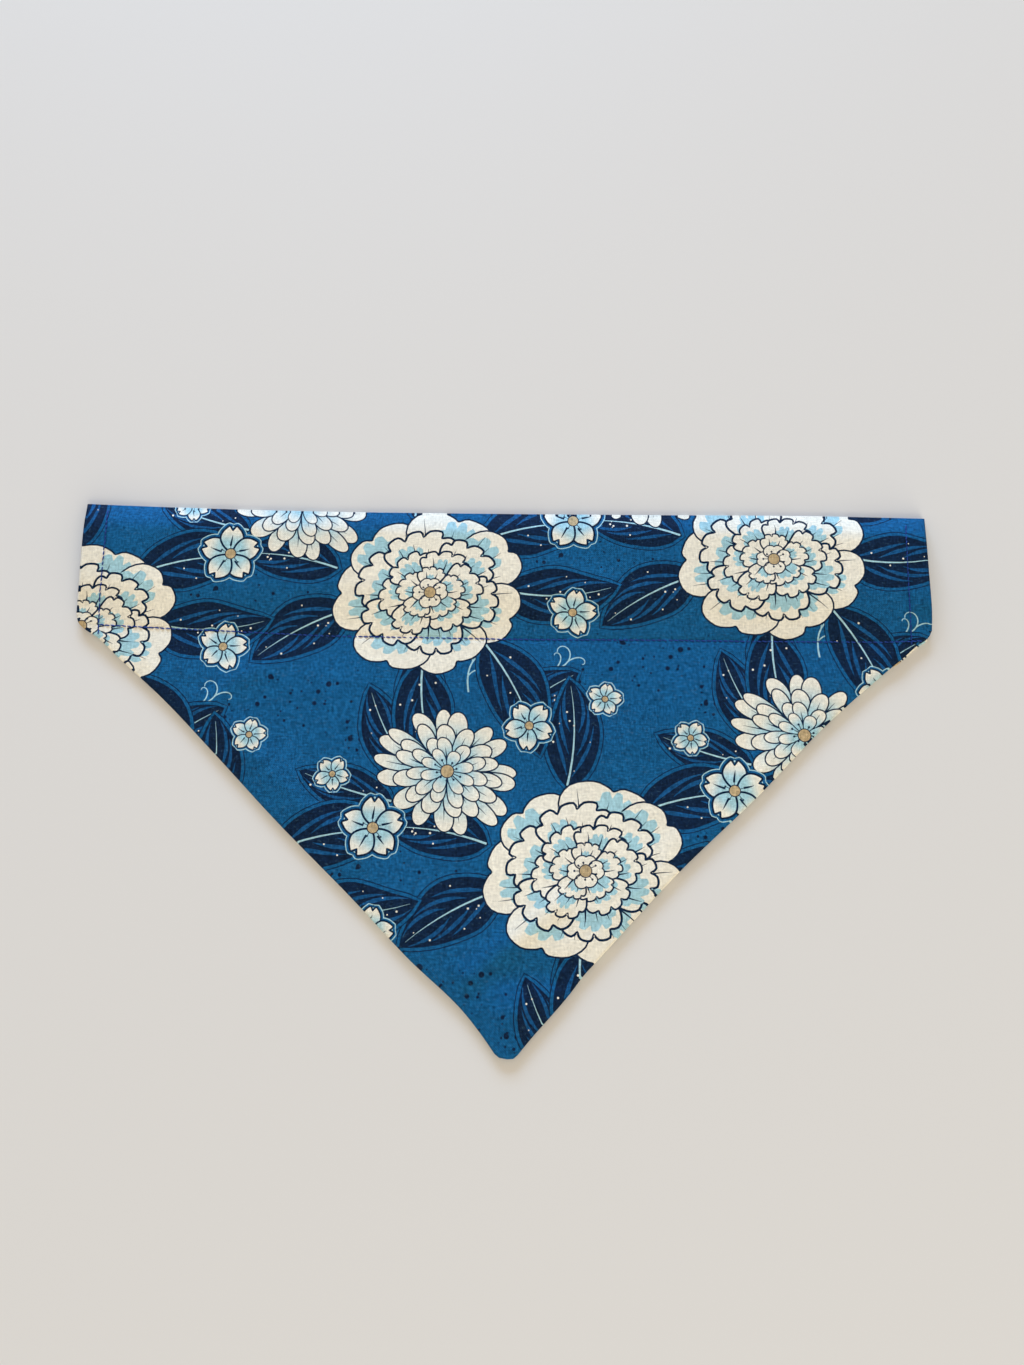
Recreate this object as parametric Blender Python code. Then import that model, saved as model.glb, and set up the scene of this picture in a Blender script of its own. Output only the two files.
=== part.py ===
"""Slip-on collar bandana of printed cotton, lying relaxed on a flat surface.

Two panels of one outline are sewn together along the top and round the point, turned through
and pressed. A stitch line below the top edge closes a channel for a collar between them. The
channel is open at both ends, where each panel has its own turned hem.

Units are metres and +Z is up. The panels are drawn with the middle of the top edge at zero, X
along the width and Y towards the top edge. An empty carries them to the middle of their box.
"""

import math
from typing import NamedTuple

import bmesh
import bpy
import numpy as np
from mathutils import Vector
from mathutils.geometry import delaunay_2d_cdt

MM = 0.001

# Cloth and seams
FRONT_THICKNESS = 1.0 * MM
BACK_THICKNESS = 1.1 * MM
HEM_EXTRA = 0.3 * MM
HEM_WIDTH = 9.2 * MM
HEM_FOLD = 1.0 * MM
LAYER_GAP = 0.3 * MM
EDGE_BULGE = 0.3 * MM
EDGE_DROP = 0.25 * MM
EDGE_DROP_REACH = 2.2 * MM
ALLOWANCE_RISE = 0.25 * MM
ALLOWANCE_WIDTH = 7.0 * MM
ALLOWANCE_FADE = 2.5 * MM

# Collar channel
CHANNEL_DEPTH = 57.0 * MM
RISE_SHARE = 0.17
FALL_FROM = 0.60
SEAM_GROOVE = 0.12 * MM
GROOVE_WIDTH = 1.6 * MM
HEM_STACK_FROM = 162.0 * MM
HEM_STACK_FULL = 171.0 * MM

# Body below the channel
BODY_LOFT = 0.95 * MM
LOFT_REACH = 13.0 * MM
BELOW_SEAM_REACH = 10.0 * MM

# Back panel where it shows past the front and where it hides
BACK_INSET = 0.5 * MM
BACK_PEEK = 0.6 * MM
PEEK_FROM_X = 167.0 * MM
PEEK_TO_X = 184.2 * MM
PEEK_BELOW_Y = -51.0 * MM

# Spacing of the mesh
EDGE_SPACING = 13.0 * MM
COLUMN_SPACING = 13.0 * MM
BODY_SPACING = 10.5 * MM
POINT_SPACING = 6.5 * MM
POINT_FROM = -162.0 * MM
BACK_SPACING = 32.0 * MM
ROW_DEPTHS_MM = (1.6, 4.2, 7.2, 10.5, 16, 22, 28, 34, 39, 44, 49, 53.5, 57, 59.5, 63, 68)
CLEAR_OF_EDGE = 2.6 * MM
SLOPE_STEP = 0.2 * MM


class EdgePoint(NamedTuple):
    """A point of the outline, in millimetres."""

    x: float
    y: float


class Crown(NamedTuple):
    """How far the channel's front stands above its flat layers at one place, in millimetres."""

    x: float
    lift: float


class Fold(NamedTuple):
    """A soft ridge, or a trough if its height is below zero, along a line, in millimetres."""

    x0: float
    y0: float
    x1: float
    y1: float
    width: float
    height: float


# The outline, anticlockwise from the top left corner. Each stretch runs on from the one before.
LEFT_END = (
    EdgePoint(-185.1, 0.0),
    EdgePoint(-185.7, -9.0),
    EdgePoint(-185.6, -21.0),
    EdgePoint(-185.0, -38.5),
    EdgePoint(-184.5, -51.0),
)
LEFT_SLOPE = (
    EdgePoint(-184.5, -51.0),
    EdgePoint(-183.4, -54.3),
    EdgePoint(-180.7, -57.0),
    EdgePoint(-174.4, -60.9),
    EdgePoint(-166.4, -68.0),
    EdgePoint(-143.8, -87.3),
    EdgePoint(-118.4, -111.9),
    EdgePoint(-92.9, -137.2),
    EdgePoint(-57.5, -170.3),
    EdgePoint(-35.9, -191.4),
    EdgePoint(-11.1, -213.5),
    EdgePoint(-4.6, -221.2),
    EdgePoint(0.2, -227.6),
)
POINT = (
    EdgePoint(0.2, -227.6),
    EdgePoint(2.2, -229.1),
    EdgePoint(5.3, -229.6),
    EdgePoint(7.7, -229.4),
    EdgePoint(9.3, -228.1),
)
RIGHT_SLOPE = (
    EdgePoint(9.3, -228.1),
    EdgePoint(14.8, -221.5),
    EdgePoint(23.1, -212.3),
    EdgePoint(30.4, -203.8),
    EdgePoint(34.6, -198.2),
    EdgePoint(42.1, -190.1),
    EdgePoint(73.2, -156.9),
    EdgePoint(108.7, -123.0),
    EdgePoint(135.7, -95.2),
    EdgePoint(164.2, -69.9),
    EdgePoint(172.0, -63.5),
    EdgePoint(177.4, -58.6),
    EdgePoint(183.6, -53.9),
    EdgePoint(184.9, -51.2),
)
RIGHT_END = (
    EdgePoint(184.9, -51.2),
    EdgePoint(185.5, -44.0),
    EdgePoint(185.5, -26.0),
    EdgePoint(185.4, -12.0),
    EdgePoint(185.1, 0.0),
)
TOP_EDGE = (
    EdgePoint(185.1, 0.0),
    EdgePoint(134.0, 0.2),
    EdgePoint(64.0, -0.6),
    EdgePoint(-5.6, -1.3),
    EdgePoint(-106.6, -1.5),
    EdgePoint(-160.9, -0.6),
    EdgePoint(-185.1, 0.0),
)

# The channel gapes a little more at its mouths and is lower where a fold crosses it.
CROWNS = (
    Crown(x=-186, lift=5.3),
    Crown(x=-140, lift=5.0),
    Crown(x=-75, lift=4.75),
    Crown(x=0, lift=5.0),
    Crown(x=60, lift=4.75),
    Crown(x=125, lift=4.9),
    Crown(x=186, lift=5.4),
)

FOLDS = {
    "point_ridge": Fold(x0=-13, y0=-202, x1=21, y1=-173, width=4.5, height=0.85),
    "point_hollow": Fold(x0=9, y0=-184, x1=27, y1=-196, width=7.5, height=-0.8),
    "point_swell": Fold(x0=17, y0=-207, x1=4, y1=-214, width=6.5, height=0.4),
    "edge_dent": Fold(x0=25, y0=-200.5, x1=33, y1=-200, width=2.2, height=-0.7),
    "left_crease": Fold(x0=-127, y0=-90, x1=-93, y1=-63, width=6.0, height=0.45),
    "left_swell": Fold(x0=-112, y0=-103, x1=-62, y1=-150, width=8.0, height=0.5),
    "middle_hollow": Fold(x0=-38, y0=-96, x1=12, y1=-122, width=17.0, height=-0.4),
    "right_swell": Fold(x0=44, y0=-106, x1=92, y1=-84, width=14.0, height=0.45),
    "right_hollow": Fold(x0=66, y0=-140, x1=112, y1=-96, width=7.0, height=-0.35),
    "channel_ridge": Fold(x0=20, y0=-24, x1=58, y1=-43, width=8.0, height=0.4),
    "left_mouth": Fold(x0=-186, y0=-18, x1=-150, y1=-13, width=9.0, height=0.3),
}

FRONT_COLOUR = (0.012, 0.094, 0.223, 1.0)
BACK_COLOUR = (0.010, 0.080, 0.195, 1.0)
COTTON_ROUGHNESS = 0.86


def blend(value, start, end):
    """0 up to start and 1 from end on, with a soft change between them."""
    share = np.clip((value - start) / (end - start), 0.0, 1.0)
    return share * share * (3.0 - 2.0 * share)


def soft_curve(stretch, spacing):
    """Points along a soft curve through a stretch of the outline, without its last point."""
    marks = np.array(stretch) * MM
    steps = np.linalg.norm(np.diff(marks, axis=0), axis=1)
    travel = np.concatenate([[0.0], np.cumsum(steps)])
    slopes = np.gradient(marks, travel, axis=0)
    points = []
    for i, length in enumerate(steps):
        pieces = max(1, round(length / spacing))
        for s in np.arange(pieces) / pieces:
            start = (1 + 2 * s) * (1 - s) ** 2 * marks[i]
            end = s * s * (3 - 2 * s) * marks[i + 1]
            leave = s * (1 - s) ** 2 * length * slopes[i]
            arrive = s * s * (s - 1) * length * slopes[i + 1]
            points.append(start + end + leave + arrive)
    return np.array(points)


def outline_of(spacing):
    """The measured outline as one closed ring, anticlockwise."""
    stretches = (LEFT_END, LEFT_SLOPE, POINT, RIGHT_SLOPE, RIGHT_END, TOP_EDGE)
    return np.concatenate([soft_curve(stretch, spacing) for stretch in stretches])


def outward(ring):
    """The outward direction at each point of an anticlockwise ring."""
    along = np.roll(ring, -1, axis=0) - np.roll(ring, 1, axis=0)
    across = np.stack([along[:, 1], -along[:, 0]], axis=1)
    return across / np.linalg.norm(across, axis=1, keepdims=True)


def distance_to(line, x, y):
    """How far each place is from an open line of points."""
    place = np.stack([x, y], axis=-1)
    best = np.full(x.shape, np.inf)
    for start, end in zip(line, line[1:]):
        run = end - start
        share = np.clip((place - start) @ run / (run @ run), 0.0, 1.0)
        nearest = start + share[..., None] * run
        best = np.minimum(best, np.linalg.norm(place - nearest, axis=-1))
    return best


# The outline's ring, its two slopes with the point between them, and the top edge by rising x
OUTLINE = outline_of(EDGE_SPACING)
SLOPES = np.concatenate(
    [
        soft_curve(LEFT_SLOPE, EDGE_SPACING),
        soft_curve(POINT, EDGE_SPACING),
        soft_curve(RIGHT_SLOPE + RIGHT_END[1:2], EDGE_SPACING),
    ]
)
TOP_CORNER = np.array(TOP_EDGE[-1]) * MM
TOP_LINE = np.concatenate([soft_curve(TOP_EDGE, EDGE_SPACING), [TOP_CORNER]])[::-1]
HEM_LINE = (OUTLINE[:, 0].max() - OUTLINE[:, 0].min()) / 2 - HEM_WIDTH


def top_edge_at(x):
    """Y of the top edge at each x."""
    return np.interp(x, TOP_LINE[:, 0], TOP_LINE[:, 1])


def fold_height(fold, x, y):
    """The rise or fall that one fold adds."""
    start = np.array([fold.x0, fold.y0]) * MM
    end = np.array([fold.x1, fold.y1]) * MM
    away = distance_to([start, end], x, y) / (fold.width * MM)
    return fold.height * MM * np.exp(-away * away)


def channel_lift(x, depth):
    """How far the channel's front stands off the flat layers, at a depth below the top edge."""
    crown = np.interp(x, [c.x * MM for c in CROWNS], [c.lift * MM for c in CROWNS])
    share = np.clip(depth / CHANNEL_DEPTH, 0.0, 1.0)
    rise = np.sin(np.minimum(share / RISE_SHARE, 1.0) * math.pi / 2)
    fall = 1.0 - blend(share, FALL_FROM, 1.0)
    return crown * rise * fall


def hem_layer(x):
    """Thickness that the turned layer of each hem adds to a panel."""
    return HEM_EXTRA * blend(np.abs(x), HEM_LINE - HEM_FOLD, HEM_LINE)


def back_top(x, y):
    """Height of the back panel's upper face, the same at every y."""
    return BACK_THICKNESS + hem_layer(x)


def back_bottom(x, y):
    """The back panel lies flat on its surface."""
    return np.zeros_like(x)


def front_top(x, y):
    """Height of the front panel's upper face."""
    depth = top_edge_at(x) - y
    from_slope = distance_to(SLOPES, x, y)
    hems = blend(np.abs(x), HEM_STACK_FROM, HEM_STACK_FULL)
    stack = BACK_THICKNESS + LAYER_GAP + FRONT_THICKNESS + 2 * HEM_EXTRA * hems
    in_channel = depth < CHANNEL_DEPTH
    held_at_slope = blend(from_slope, 0.0, LOFT_REACH)
    below_seam = blend(depth, CHANNEL_DEPTH, CHANNEL_DEPTH + BELOW_SEAM_REACH)
    body = BODY_LOFT * below_seam * held_at_slope
    lift = np.where(in_channel, channel_lift(x, depth) * held_at_slope, body)
    folds = sum(fold_height(fold, x, y) for fold in FOLDS.values())
    loose = np.where(in_channel, lift / (CROWNS[1].lift * MM), lift / BODY_LOFT)
    allowance = ALLOWANCE_RISE * (
        1.0 - blend(from_slope, ALLOWANCE_WIDTH, ALLOWANCE_WIDTH + ALLOWANCE_FADE)
    )
    groove = SEAM_GROOVE * np.exp(-(((depth - CHANNEL_DEPTH) / GROOVE_WIDTH) ** 2))
    from_edge = np.minimum(from_slope, np.abs(depth))
    drop = EDGE_DROP * (1.0 - blend(from_edge, 0.0, EDGE_DROP_REACH))
    return stack + lift + folds * loose + allowance - groove - drop


def front_bottom(x, y):
    """Height of the front panel's lower face, one thickness under the upper, clear of the back."""
    run = (front_top(x + SLOPE_STEP, y) - front_top(x - SLOPE_STEP, y)) / (2 * SLOPE_STEP)
    fall = (front_top(x, y + SLOPE_STEP) - front_top(x, y - SLOPE_STEP)) / (2 * SLOPE_STEP)
    upright = (FRONT_THICKNESS + hem_layer(x)) * np.sqrt(1.0 + run * run + fall * fall)
    hems = blend(np.abs(x), HEM_STACK_FROM, HEM_STACK_FULL)
    lowest = BACK_THICKNESS + HEM_EXTRA * hems + LAYER_GAP
    return np.maximum(front_top(x, y) - upright, lowest)


def kept_inside(places, ring, clear):
    """The places that lie inside a ring and at least `clear` from it."""
    closed = np.concatenate([ring, ring[:1]])
    x, y = places[:, 0], places[:, 1]
    inside = np.zeros(len(places), bool)
    for (ax, ay), (bx, by) in zip(closed, closed[1:]):
        spans = (ay > y) != (by > y)
        level = by - ay if by != ay else 1.0
        inside ^= spans & (x < (bx - ax) * (y - ay) / level + ax)
    return places[inside & (distance_to(closed, x, y) > clear)]


def row_marks(spacing, number):
    """X of the places on one row between the hems, shifted by half a space on odd rows."""
    half = HEM_LINE - HEM_FOLD
    marks = np.linspace(-half, half, round(2 * half / spacing) + 1)
    return (marks[1:] + marks[:-1]) / 2 if number % 2 else marks[1:-1]


def level_row(y, spacing, number):
    """Places on one row that runs straight across."""
    x = row_marks(spacing, number)
    return np.stack([x, np.full_like(x, y)], axis=1)


def hem_columns(depths):
    """Places along both sides of each hem's fold, and down the middle of each hem."""
    places = []
    for side in (-1, 1):
        for x in (HEM_LINE - HEM_FOLD, HEM_LINE, HEM_LINE + HEM_WIDTH / 2):
            across = np.full(len(depths), side * x)
            places.append(np.stack([across, top_edge_at(across) - depths], axis=1))
    return np.concatenate(places)


def front_places(ring):
    """Inner points of the front panel: rows across the channel, then an even grid below it."""
    depths = np.array(ROW_DEPTHS_MM) * MM
    rows = [hem_columns(depths)]
    for number, depth in enumerate(depths):
        x = row_marks(COLUMN_SPACING, number)
        rows.append(np.stack([x, top_edge_at(x) - depth], axis=1))
    y, number = -depths[-1] - BODY_SPACING, 0
    while y > ring[:, 1].min():
        spacing = BODY_SPACING if y > POINT_FROM else POINT_SPACING
        rows.append(level_row(y, spacing, number))
        y, number = y - spacing, number + 1
    edge = SLOPES[2:-2]
    inwards = -outward(SLOPES)[2:-2]
    seam = [edge + inwards * ALLOWANCE_WIDTH, edge + inwards * (ALLOWANCE_WIDTH + ALLOWANCE_FADE)]
    rows = np.concatenate(rows)
    x, y = rows.T
    far = distance_to(SLOPES, x, y) > 2 * ALLOWANCE_WIDTH
    in_channel = top_edge_at(x) - y < CHANNEL_DEPTH + HEM_FOLD
    return np.concatenate([rows[far | in_channel], *seam])


def back_places(ring):
    """Inner points of the back panel, which is flat between its hems."""
    depths = np.arange(1, 4) * CHANNEL_DEPTH / 4
    rows = [hem_columns(depths)]
    y, number = -BACK_SPACING / 2, 0
    while y > ring[:, 1].min():
        rows.append(level_row(y, BACK_SPACING, number))
        y, number = y - BACK_SPACING, number + 1
    return np.concatenate(rows)


def add_sheet(name, ring, places, top, bottom, material, parent):
    """One closed panel: two faces from one set of triangles, joined by a rounded rim."""
    places = kept_inside(places, ring, CLEAR_OF_EDGE)
    flat = [Vector(place) for place in np.concatenate([ring, places])]
    edge = list(range(len(ring)))
    verts, _, triangles, *_ = delaunay_2d_cdt(flat, [], [edge], 1, 1e-7)
    if len(verts) != len(flat):
        raise ValueError(f"{name} has places that fall together")
    x, y = np.array([tuple(v) for v in verts]).T
    rim = ring + outward(ring) * EDGE_BULGE
    high, low = top(x, y), bottom(x, y)
    middle = (high[: len(ring)] + low[: len(ring)]) / 2
    points = [*zip(x, y, high), *zip(x, y, low), *zip(rim[:, 0], rim[:, 1], middle)]
    count = len(verts)
    faces = [tuple(t) for t in triangles]
    faces += [tuple(i + count for i in reversed(t)) for t in triangles]
    for i in edge:
        after = (i + 1) % len(ring)
        faces.append((after, i, i + 2 * count, after + 2 * count))
        faces.append((after + 2 * count, i + 2 * count, i + count, after + count))
    mesh = bpy.data.meshes.new(name)
    mesh.from_pydata(points, [], faces)
    shell = bmesh.new()
    shell.from_mesh(mesh)
    bmesh.ops.recalc_face_normals(shell, faces=shell.faces)
    shell.to_mesh(mesh)
    shell.free()
    mesh.shade_smooth()
    mesh.set_sharp_from_angle(angle=math.radians(40))
    mesh.materials.append(material)
    panel = bpy.data.objects.new(name, mesh)
    panel.parent = parent
    bpy.context.collection.objects.link(panel)
    return panel


def cotton(name, colour):
    """Plain cotton in one colour."""
    material = bpy.data.materials.new(name)
    material.use_nodes = True
    shader = material.node_tree.nodes["Principled BSDF"]
    shader.inputs["Base Color"].default_value = colour
    shader.inputs["Roughness"].default_value = COTTON_ROUGHNESS
    shader.inputs["Metallic"].default_value = 0.0
    return material


def back_ring(ring):
    """The back's outline: rolled in behind the front, but showing past it by the right corner."""
    x, y = ring.T
    shown = (x > PEEK_FROM_X) & (x < PEEK_TO_X) & (y < PEEK_BELOW_Y)
    shift = np.where(shown, BACK_PEEK, -BACK_INSET)
    return ring + outward(ring) * shift[:, None]


def clear_scene():
    """Remove every object, so that only the bandana is in the scene."""
    for item in list(bpy.data.objects):
        bpy.data.objects.remove(item, do_unlink=True)


def main():
    """Build both panels under one empty."""
    clear_scene()
    ring = OUTLINE - outward(OUTLINE) * EDGE_BULGE
    centre = (OUTLINE.min(axis=0) + OUTLINE.max(axis=0)) / 2
    bandana = bpy.data.objects.new("bandana", None)
    bandana.location = (-centre[0], -centre[1], 0.0)
    bpy.context.collection.objects.link(bandana)
    add_sheet(
        "front_panel",
        ring,
        front_places(ring),
        front_top,
        front_bottom,
        cotton("front_cotton", FRONT_COLOUR),
        bandana,
    )
    behind = back_ring(ring)
    add_sheet(
        "back_panel",
        behind,
        back_places(behind),
        back_top,
        back_bottom,
        cotton("back_cotton", BACK_COLOUR),
        bandana,
    )


if __name__ == "__main__":
    main()
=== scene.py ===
"""Looks of a slip-on collar bandana: printed cotton, its stitches, a floor, light and a camera.

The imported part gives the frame. Plans, heights and the print are worked out in millimetres, with
zero at the middle of the straight top edge, X along the width and Y towards that edge. Each mesh
is then written in metres in the part's own frame.
"""

import logging
import math
from collections.abc import Callable, Sequence
from dataclasses import dataclass
from enum import Enum
from typing import NamedTuple, Optional

import bmesh
import bpy
import numpy as np
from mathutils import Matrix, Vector
from mathutils.geometry import delaunay_2d_cdt


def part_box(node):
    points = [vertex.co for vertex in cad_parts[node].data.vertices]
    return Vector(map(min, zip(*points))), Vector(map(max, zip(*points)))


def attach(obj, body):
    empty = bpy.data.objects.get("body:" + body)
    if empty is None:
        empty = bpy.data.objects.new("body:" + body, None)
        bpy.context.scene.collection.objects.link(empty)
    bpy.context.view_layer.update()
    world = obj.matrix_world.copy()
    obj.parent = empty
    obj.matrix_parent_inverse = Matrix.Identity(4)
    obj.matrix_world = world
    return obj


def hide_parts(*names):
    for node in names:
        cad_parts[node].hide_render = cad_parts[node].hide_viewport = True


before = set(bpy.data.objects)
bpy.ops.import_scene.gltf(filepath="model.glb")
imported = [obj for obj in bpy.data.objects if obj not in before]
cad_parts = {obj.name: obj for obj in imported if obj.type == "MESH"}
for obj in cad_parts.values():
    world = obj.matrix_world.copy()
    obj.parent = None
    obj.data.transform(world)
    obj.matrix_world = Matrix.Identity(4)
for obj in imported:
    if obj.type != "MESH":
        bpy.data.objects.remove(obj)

Array = np.ndarray
MM = 0.001
EYE = (0.0062, -0.0573, 0.4263)
LOG = logging.getLogger("bandana")


class Dye(Enum):
    """The print's dyes, by their sRGB colours on the cloth."""

    GROUND = (20, 86, 133)
    NAVY = (15, 35, 61)
    MID = (22, 78, 126)
    CREAM = (233, 228, 212)
    PALE = (160, 200, 209)
    TAN = (182, 160, 122)

    @property
    def linear(self) -> Array:
        """The dye as linear light, by the curve of the sRGB standard."""
        share = np.array(self.value) / 255
        return np.where(share <= 0.04045, share / 12.92, ((share + 0.055) / 1.055) ** 2.4)


class Fold(NamedTuple):
    """A soft ridge, or a trough if its height is below zero, along a line."""

    start: tuple[float, float]
    end: tuple[float, float]
    width: float
    height: float


class Waves(NamedTuple):
    """Small waves along a seam: a main length that sways, and a second length over it."""

    length: float
    sway: float
    sway_run: float
    second: float
    second_length: float
    second_phase: float

    def at(self, travel: Array) -> Array:
        """Heights at travels along the seam, where the main wave's height is 1."""
        main = np.sin(travel * 2 * math.pi / self.length + self.sway * np.sin(travel / self.sway_run))
        return main + self.second * np.sin(travel * 2 * math.pi / self.second_length + self.second_phase)


class Near(NamedTuple):
    """How far places are from a line, and how far along it their nearest points lie."""

    away: Array
    travel: Array


@dataclass(frozen=True)
class Path:
    """An open line through marks."""

    marks: Array

    @property
    def steps(self) -> Array:
        """Lengths between the marks."""
        return np.linalg.norm(np.diff(self.marks, axis=0), axis=1)

    @property
    def travel(self) -> Array:
        """Travel from the line's start to each mark."""
        return np.concatenate([[0.0], np.cumsum(self.steps)])

    def at(self, travel: Array) -> Array:
        """Places at travels along the line."""
        known = self.travel
        return np.stack([np.interp(travel, known, self.marks[:, k]) for k in (0, 1)], axis=1)

    def x_at(self, y: Array) -> Array:
        """X where the line passes each y."""
        marks = self.marks[np.argsort(self.marks[:, 1])]
        return np.interp(y, marks[:, 1], marks[:, 0])

    def y_at(self, x: Array) -> Array:
        """Y where the line passes each x."""
        marks = self.marks[np.argsort(self.marks[:, 0])]
        return np.interp(x, marks[:, 0], marks[:, 1])

    def softened(self, spacing: float) -> Array:
        """Draw a soft curve through the marks.

        Args:
            spacing: Distance between the curve's points, about.

        Returns:
            Points of the curve, without its last.
        """
        slopes = np.gradient(self.marks, self.travel, axis=0)
        points = []
        for i, length in enumerate(self.steps):
            pieces = max(1, round(length / spacing))
            for s in np.arange(pieces) / pieces:
                start = (1 + 2 * s) * (1 - s) ** 2 * self.marks[i]
                end = s * s * (3 - 2 * s) * self.marks[i + 1]
                leave = s * (1 - s) ** 2 * length * slopes[i]
                arrive = s * s * (s - 1) * length * slopes[i + 1]
                points.append(start + end + leave + arrive)
        return np.array(points)

    def nearest(self, at: Array) -> Near:
        """Measure places against the line.

        Args:
            at: The places.

        Returns:
            Distance from the line and travel along it.
        """
        x, y = at.T
        best, along = np.full(x.shape, np.inf), np.zeros(x.shape)
        done = 0.0
        for (ax, ay), (bx, by) in zip(self.marks, self.marks[1:]):
            run_x, run_y = bx - ax, by - ay
            length = math.hypot(run_x, run_y)
            share = np.clip(((x - ax) * run_x + (y - ay) * run_y) / length**2, 0.0, 1.0)
            away = np.hypot(x - ax - share * run_x, y - ay - share * run_y)
            nearer = away < best
            best = np.where(nearer, away, best)
            along = np.where(nearer, done + share * length, along)
            done += length
        return Near(best, along)


def line(*marks: tuple[float, float]) -> Path:
    """The line through pairs of x and y."""
    return Path(np.array(marks, float))


# The outline, anticlockwise from the top left corner. Each stretch runs on from the one before.
LEFT_END = line((-185.1, 0.0), (-185.7, -9.0), (-185.6, -21.0), (-185.0, -38.5), (-184.5, -51.0))
LEFT_SLOPE = line(
    (-184.5, -51.0), (-183.4, -54.3), (-180.7, -57.0), (-174.4, -60.9), (-166.4, -68.0),
    (-143.8, -87.3), (-118.4, -111.9), (-92.9, -137.2), (-57.5, -170.3), (-35.9, -191.4),
    (-11.1, -213.5), (-4.6, -221.2), (0.2, -227.6),
)
POINT = line((0.2, -227.6), (2.2, -229.1), (5.3, -229.6), (7.7, -229.4), (9.3, -228.1))
RIGHT_SLOPE = line(
    (9.3, -228.1), (14.8, -221.5), (23.1, -212.3), (30.4, -203.8), (34.6, -198.2),
    (42.1, -190.1), (73.2, -156.9), (108.7, -123.0), (135.7, -95.2), (164.2, -69.9),
    (172.0, -63.5), (177.4, -58.6), (183.6, -53.9), (184.9, -51.2),
)
RIGHT_END = line((184.9, -51.2), (185.5, -44.0), (185.5, -26.0), (185.4, -12.0), (185.1, 0.0))
TOP_EDGE = line(
    (185.1, 0.0), (134.0, 0.2), (64.0, -0.6), (-5.6, -1.3), (-106.6, -1.5), (-160.9, -0.6),
    (-185.1, 0.0),
)

# Lines of stitches
CASING_LINE = line(
    (-174.6, -55.3), (-145.4, -56.4), (-120.3, -57.1), (-76.2, -58.5), (-13.8, -58.5),
    (14.2, -58.5), (61.0, -57.8), (93.3, -57.6), (122.9, -57.4), (165.4, -56.8), (180.9, -55.9),
)
LEFT_HEM_LINE = line((-174.1, -60.0), (-175.4, -40.0), (-176.0, -1.6))
RIGHT_HEM_LINE = line((175.8, -58.4), (176.2, -30.0), (176.7, -1.2))
HEM_LINES = (LEFT_HEM_LINE, RIGHT_HEM_LINE)

# How far the channel's front stands above its flat layers, as the y of a line over the width
CROWN_LINE = line(
    (-186, 5.3), (-140, 5.0), (-75, 4.75), (0, 5.0), (60, 4.75), (125, 4.9), (186, 5.4)
)
FULL_LIFT = 5.0

FOLDS = {
    "point_ridge": Fold((-12, -200), (24, -170), width=5.5, height=0.9),
    "point_hollow": Fold((5, -198), (29, -199.5), width=7.5, height=-1.05),
    "point_swell": Fold((17, -207), (4, -214), width=6.5, height=0.4),
    "edge_dent": Fold((25, -200.5), (33, -200), width=2.2, height=-1.0),
    "left_crease": Fold((-127, -90), (-93, -63), width=6.0, height=0.45),
    "left_swell": Fold((-112, -103), (-62, -150), width=8.0, height=0.5),
    "middle_hollow": Fold((-38, -96), (12, -122), width=17.0, height=-0.4),
    "right_swell": Fold((44, -106), (92, -84), width=14.0, height=0.45),
    "right_hollow": Fold((66, -140), (112, -96), width=7.0, height=-0.35),
    "channel_ridge": Fold((20, -24), (58, -43), width=8.0, height=0.4),
    "left_mouth": Fold((-186, -18), (-150, -13), width=9.0, height=0.3),
}
STITCH_WAVES = Waves(7.3, 1.2, 19.0, 0.7, 11.9, 2.0)
EDGE_WAVES = Waves(9.1, 1.5, 23.0, 0.6, 15.7, 0.0)


def blend(value: Array, start: float, end: float) -> Array:
    """0 up to start and 1 from end on, with a soft change between them."""
    share = np.clip((value - start) / (end - start), 0.0, 1.0)
    return share * share * (3.0 - 2.0 * share)


def hump(value: Array, width: float) -> Array:
    """1 at zero, falling away softly on both sides."""
    return np.exp(-((value / width) ** 2))


def right_of(along: Array) -> Array:
    """Unit directions to the right-hand side of others."""
    across = np.stack([along[:, 1], -along[:, 0]], axis=1)
    return across / np.maximum(np.linalg.norm(across, axis=1, keepdims=True), 1e-9)


def outward(ring: Array) -> Array:
    """The outward direction at each point of an anticlockwise ring."""
    return right_of(np.roll(ring, -1, axis=0) - np.roll(ring, 1, axis=0))


def standing(points: Array, shift: Array) -> Array:
    """Bring measured points into the part's frame.

    All plans were measured where things show on the surface, so a point above the surface
    really stands nearer to the place below the eye.

    Args:
        points: Plan places with heights, in millimetres.
        shift: From the measured frame to the part's.

    Returns:
        The points in metres.
    """
    eye = np.array(EYE) / MM
    found = points + [*shift, 0.0]
    found[:, :2] += (eye[:2] - found[:, :2]) * found[:, 2:] / eye[2]
    return found * MM


OUTLINE_SPACING = 2.5
LINE_SPACING = 6.0
STRETCHES = (LEFT_END, LEFT_SLOPE, POINT, RIGHT_SLOPE, RIGHT_END, TOP_EDGE)
OUTLINE = np.concatenate([stretch.softened(OUTLINE_SPACING) for stretch in STRETCHES])
RIGHT_SEAM = Path(np.concatenate([RIGHT_SLOPE.marks, RIGHT_END.marks[1:2]]))
SEAMS = (LEFT_SLOPE, POINT, RIGHT_SEAM)
SLOPES = Path(np.concatenate([seam.softened(LINE_SPACING) for seam in SEAMS]))
TOP_LINE = Path(np.concatenate([TOP_EDGE.softened(LINE_SPACING), TOP_EDGE.marks[-1:]]))


def from_casing(at: Array) -> Array:
    """How far each place is above the line of stitches that closes the channel."""
    return at[:, 1] - CASING_LINE.y_at(at[:, 0])


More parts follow.
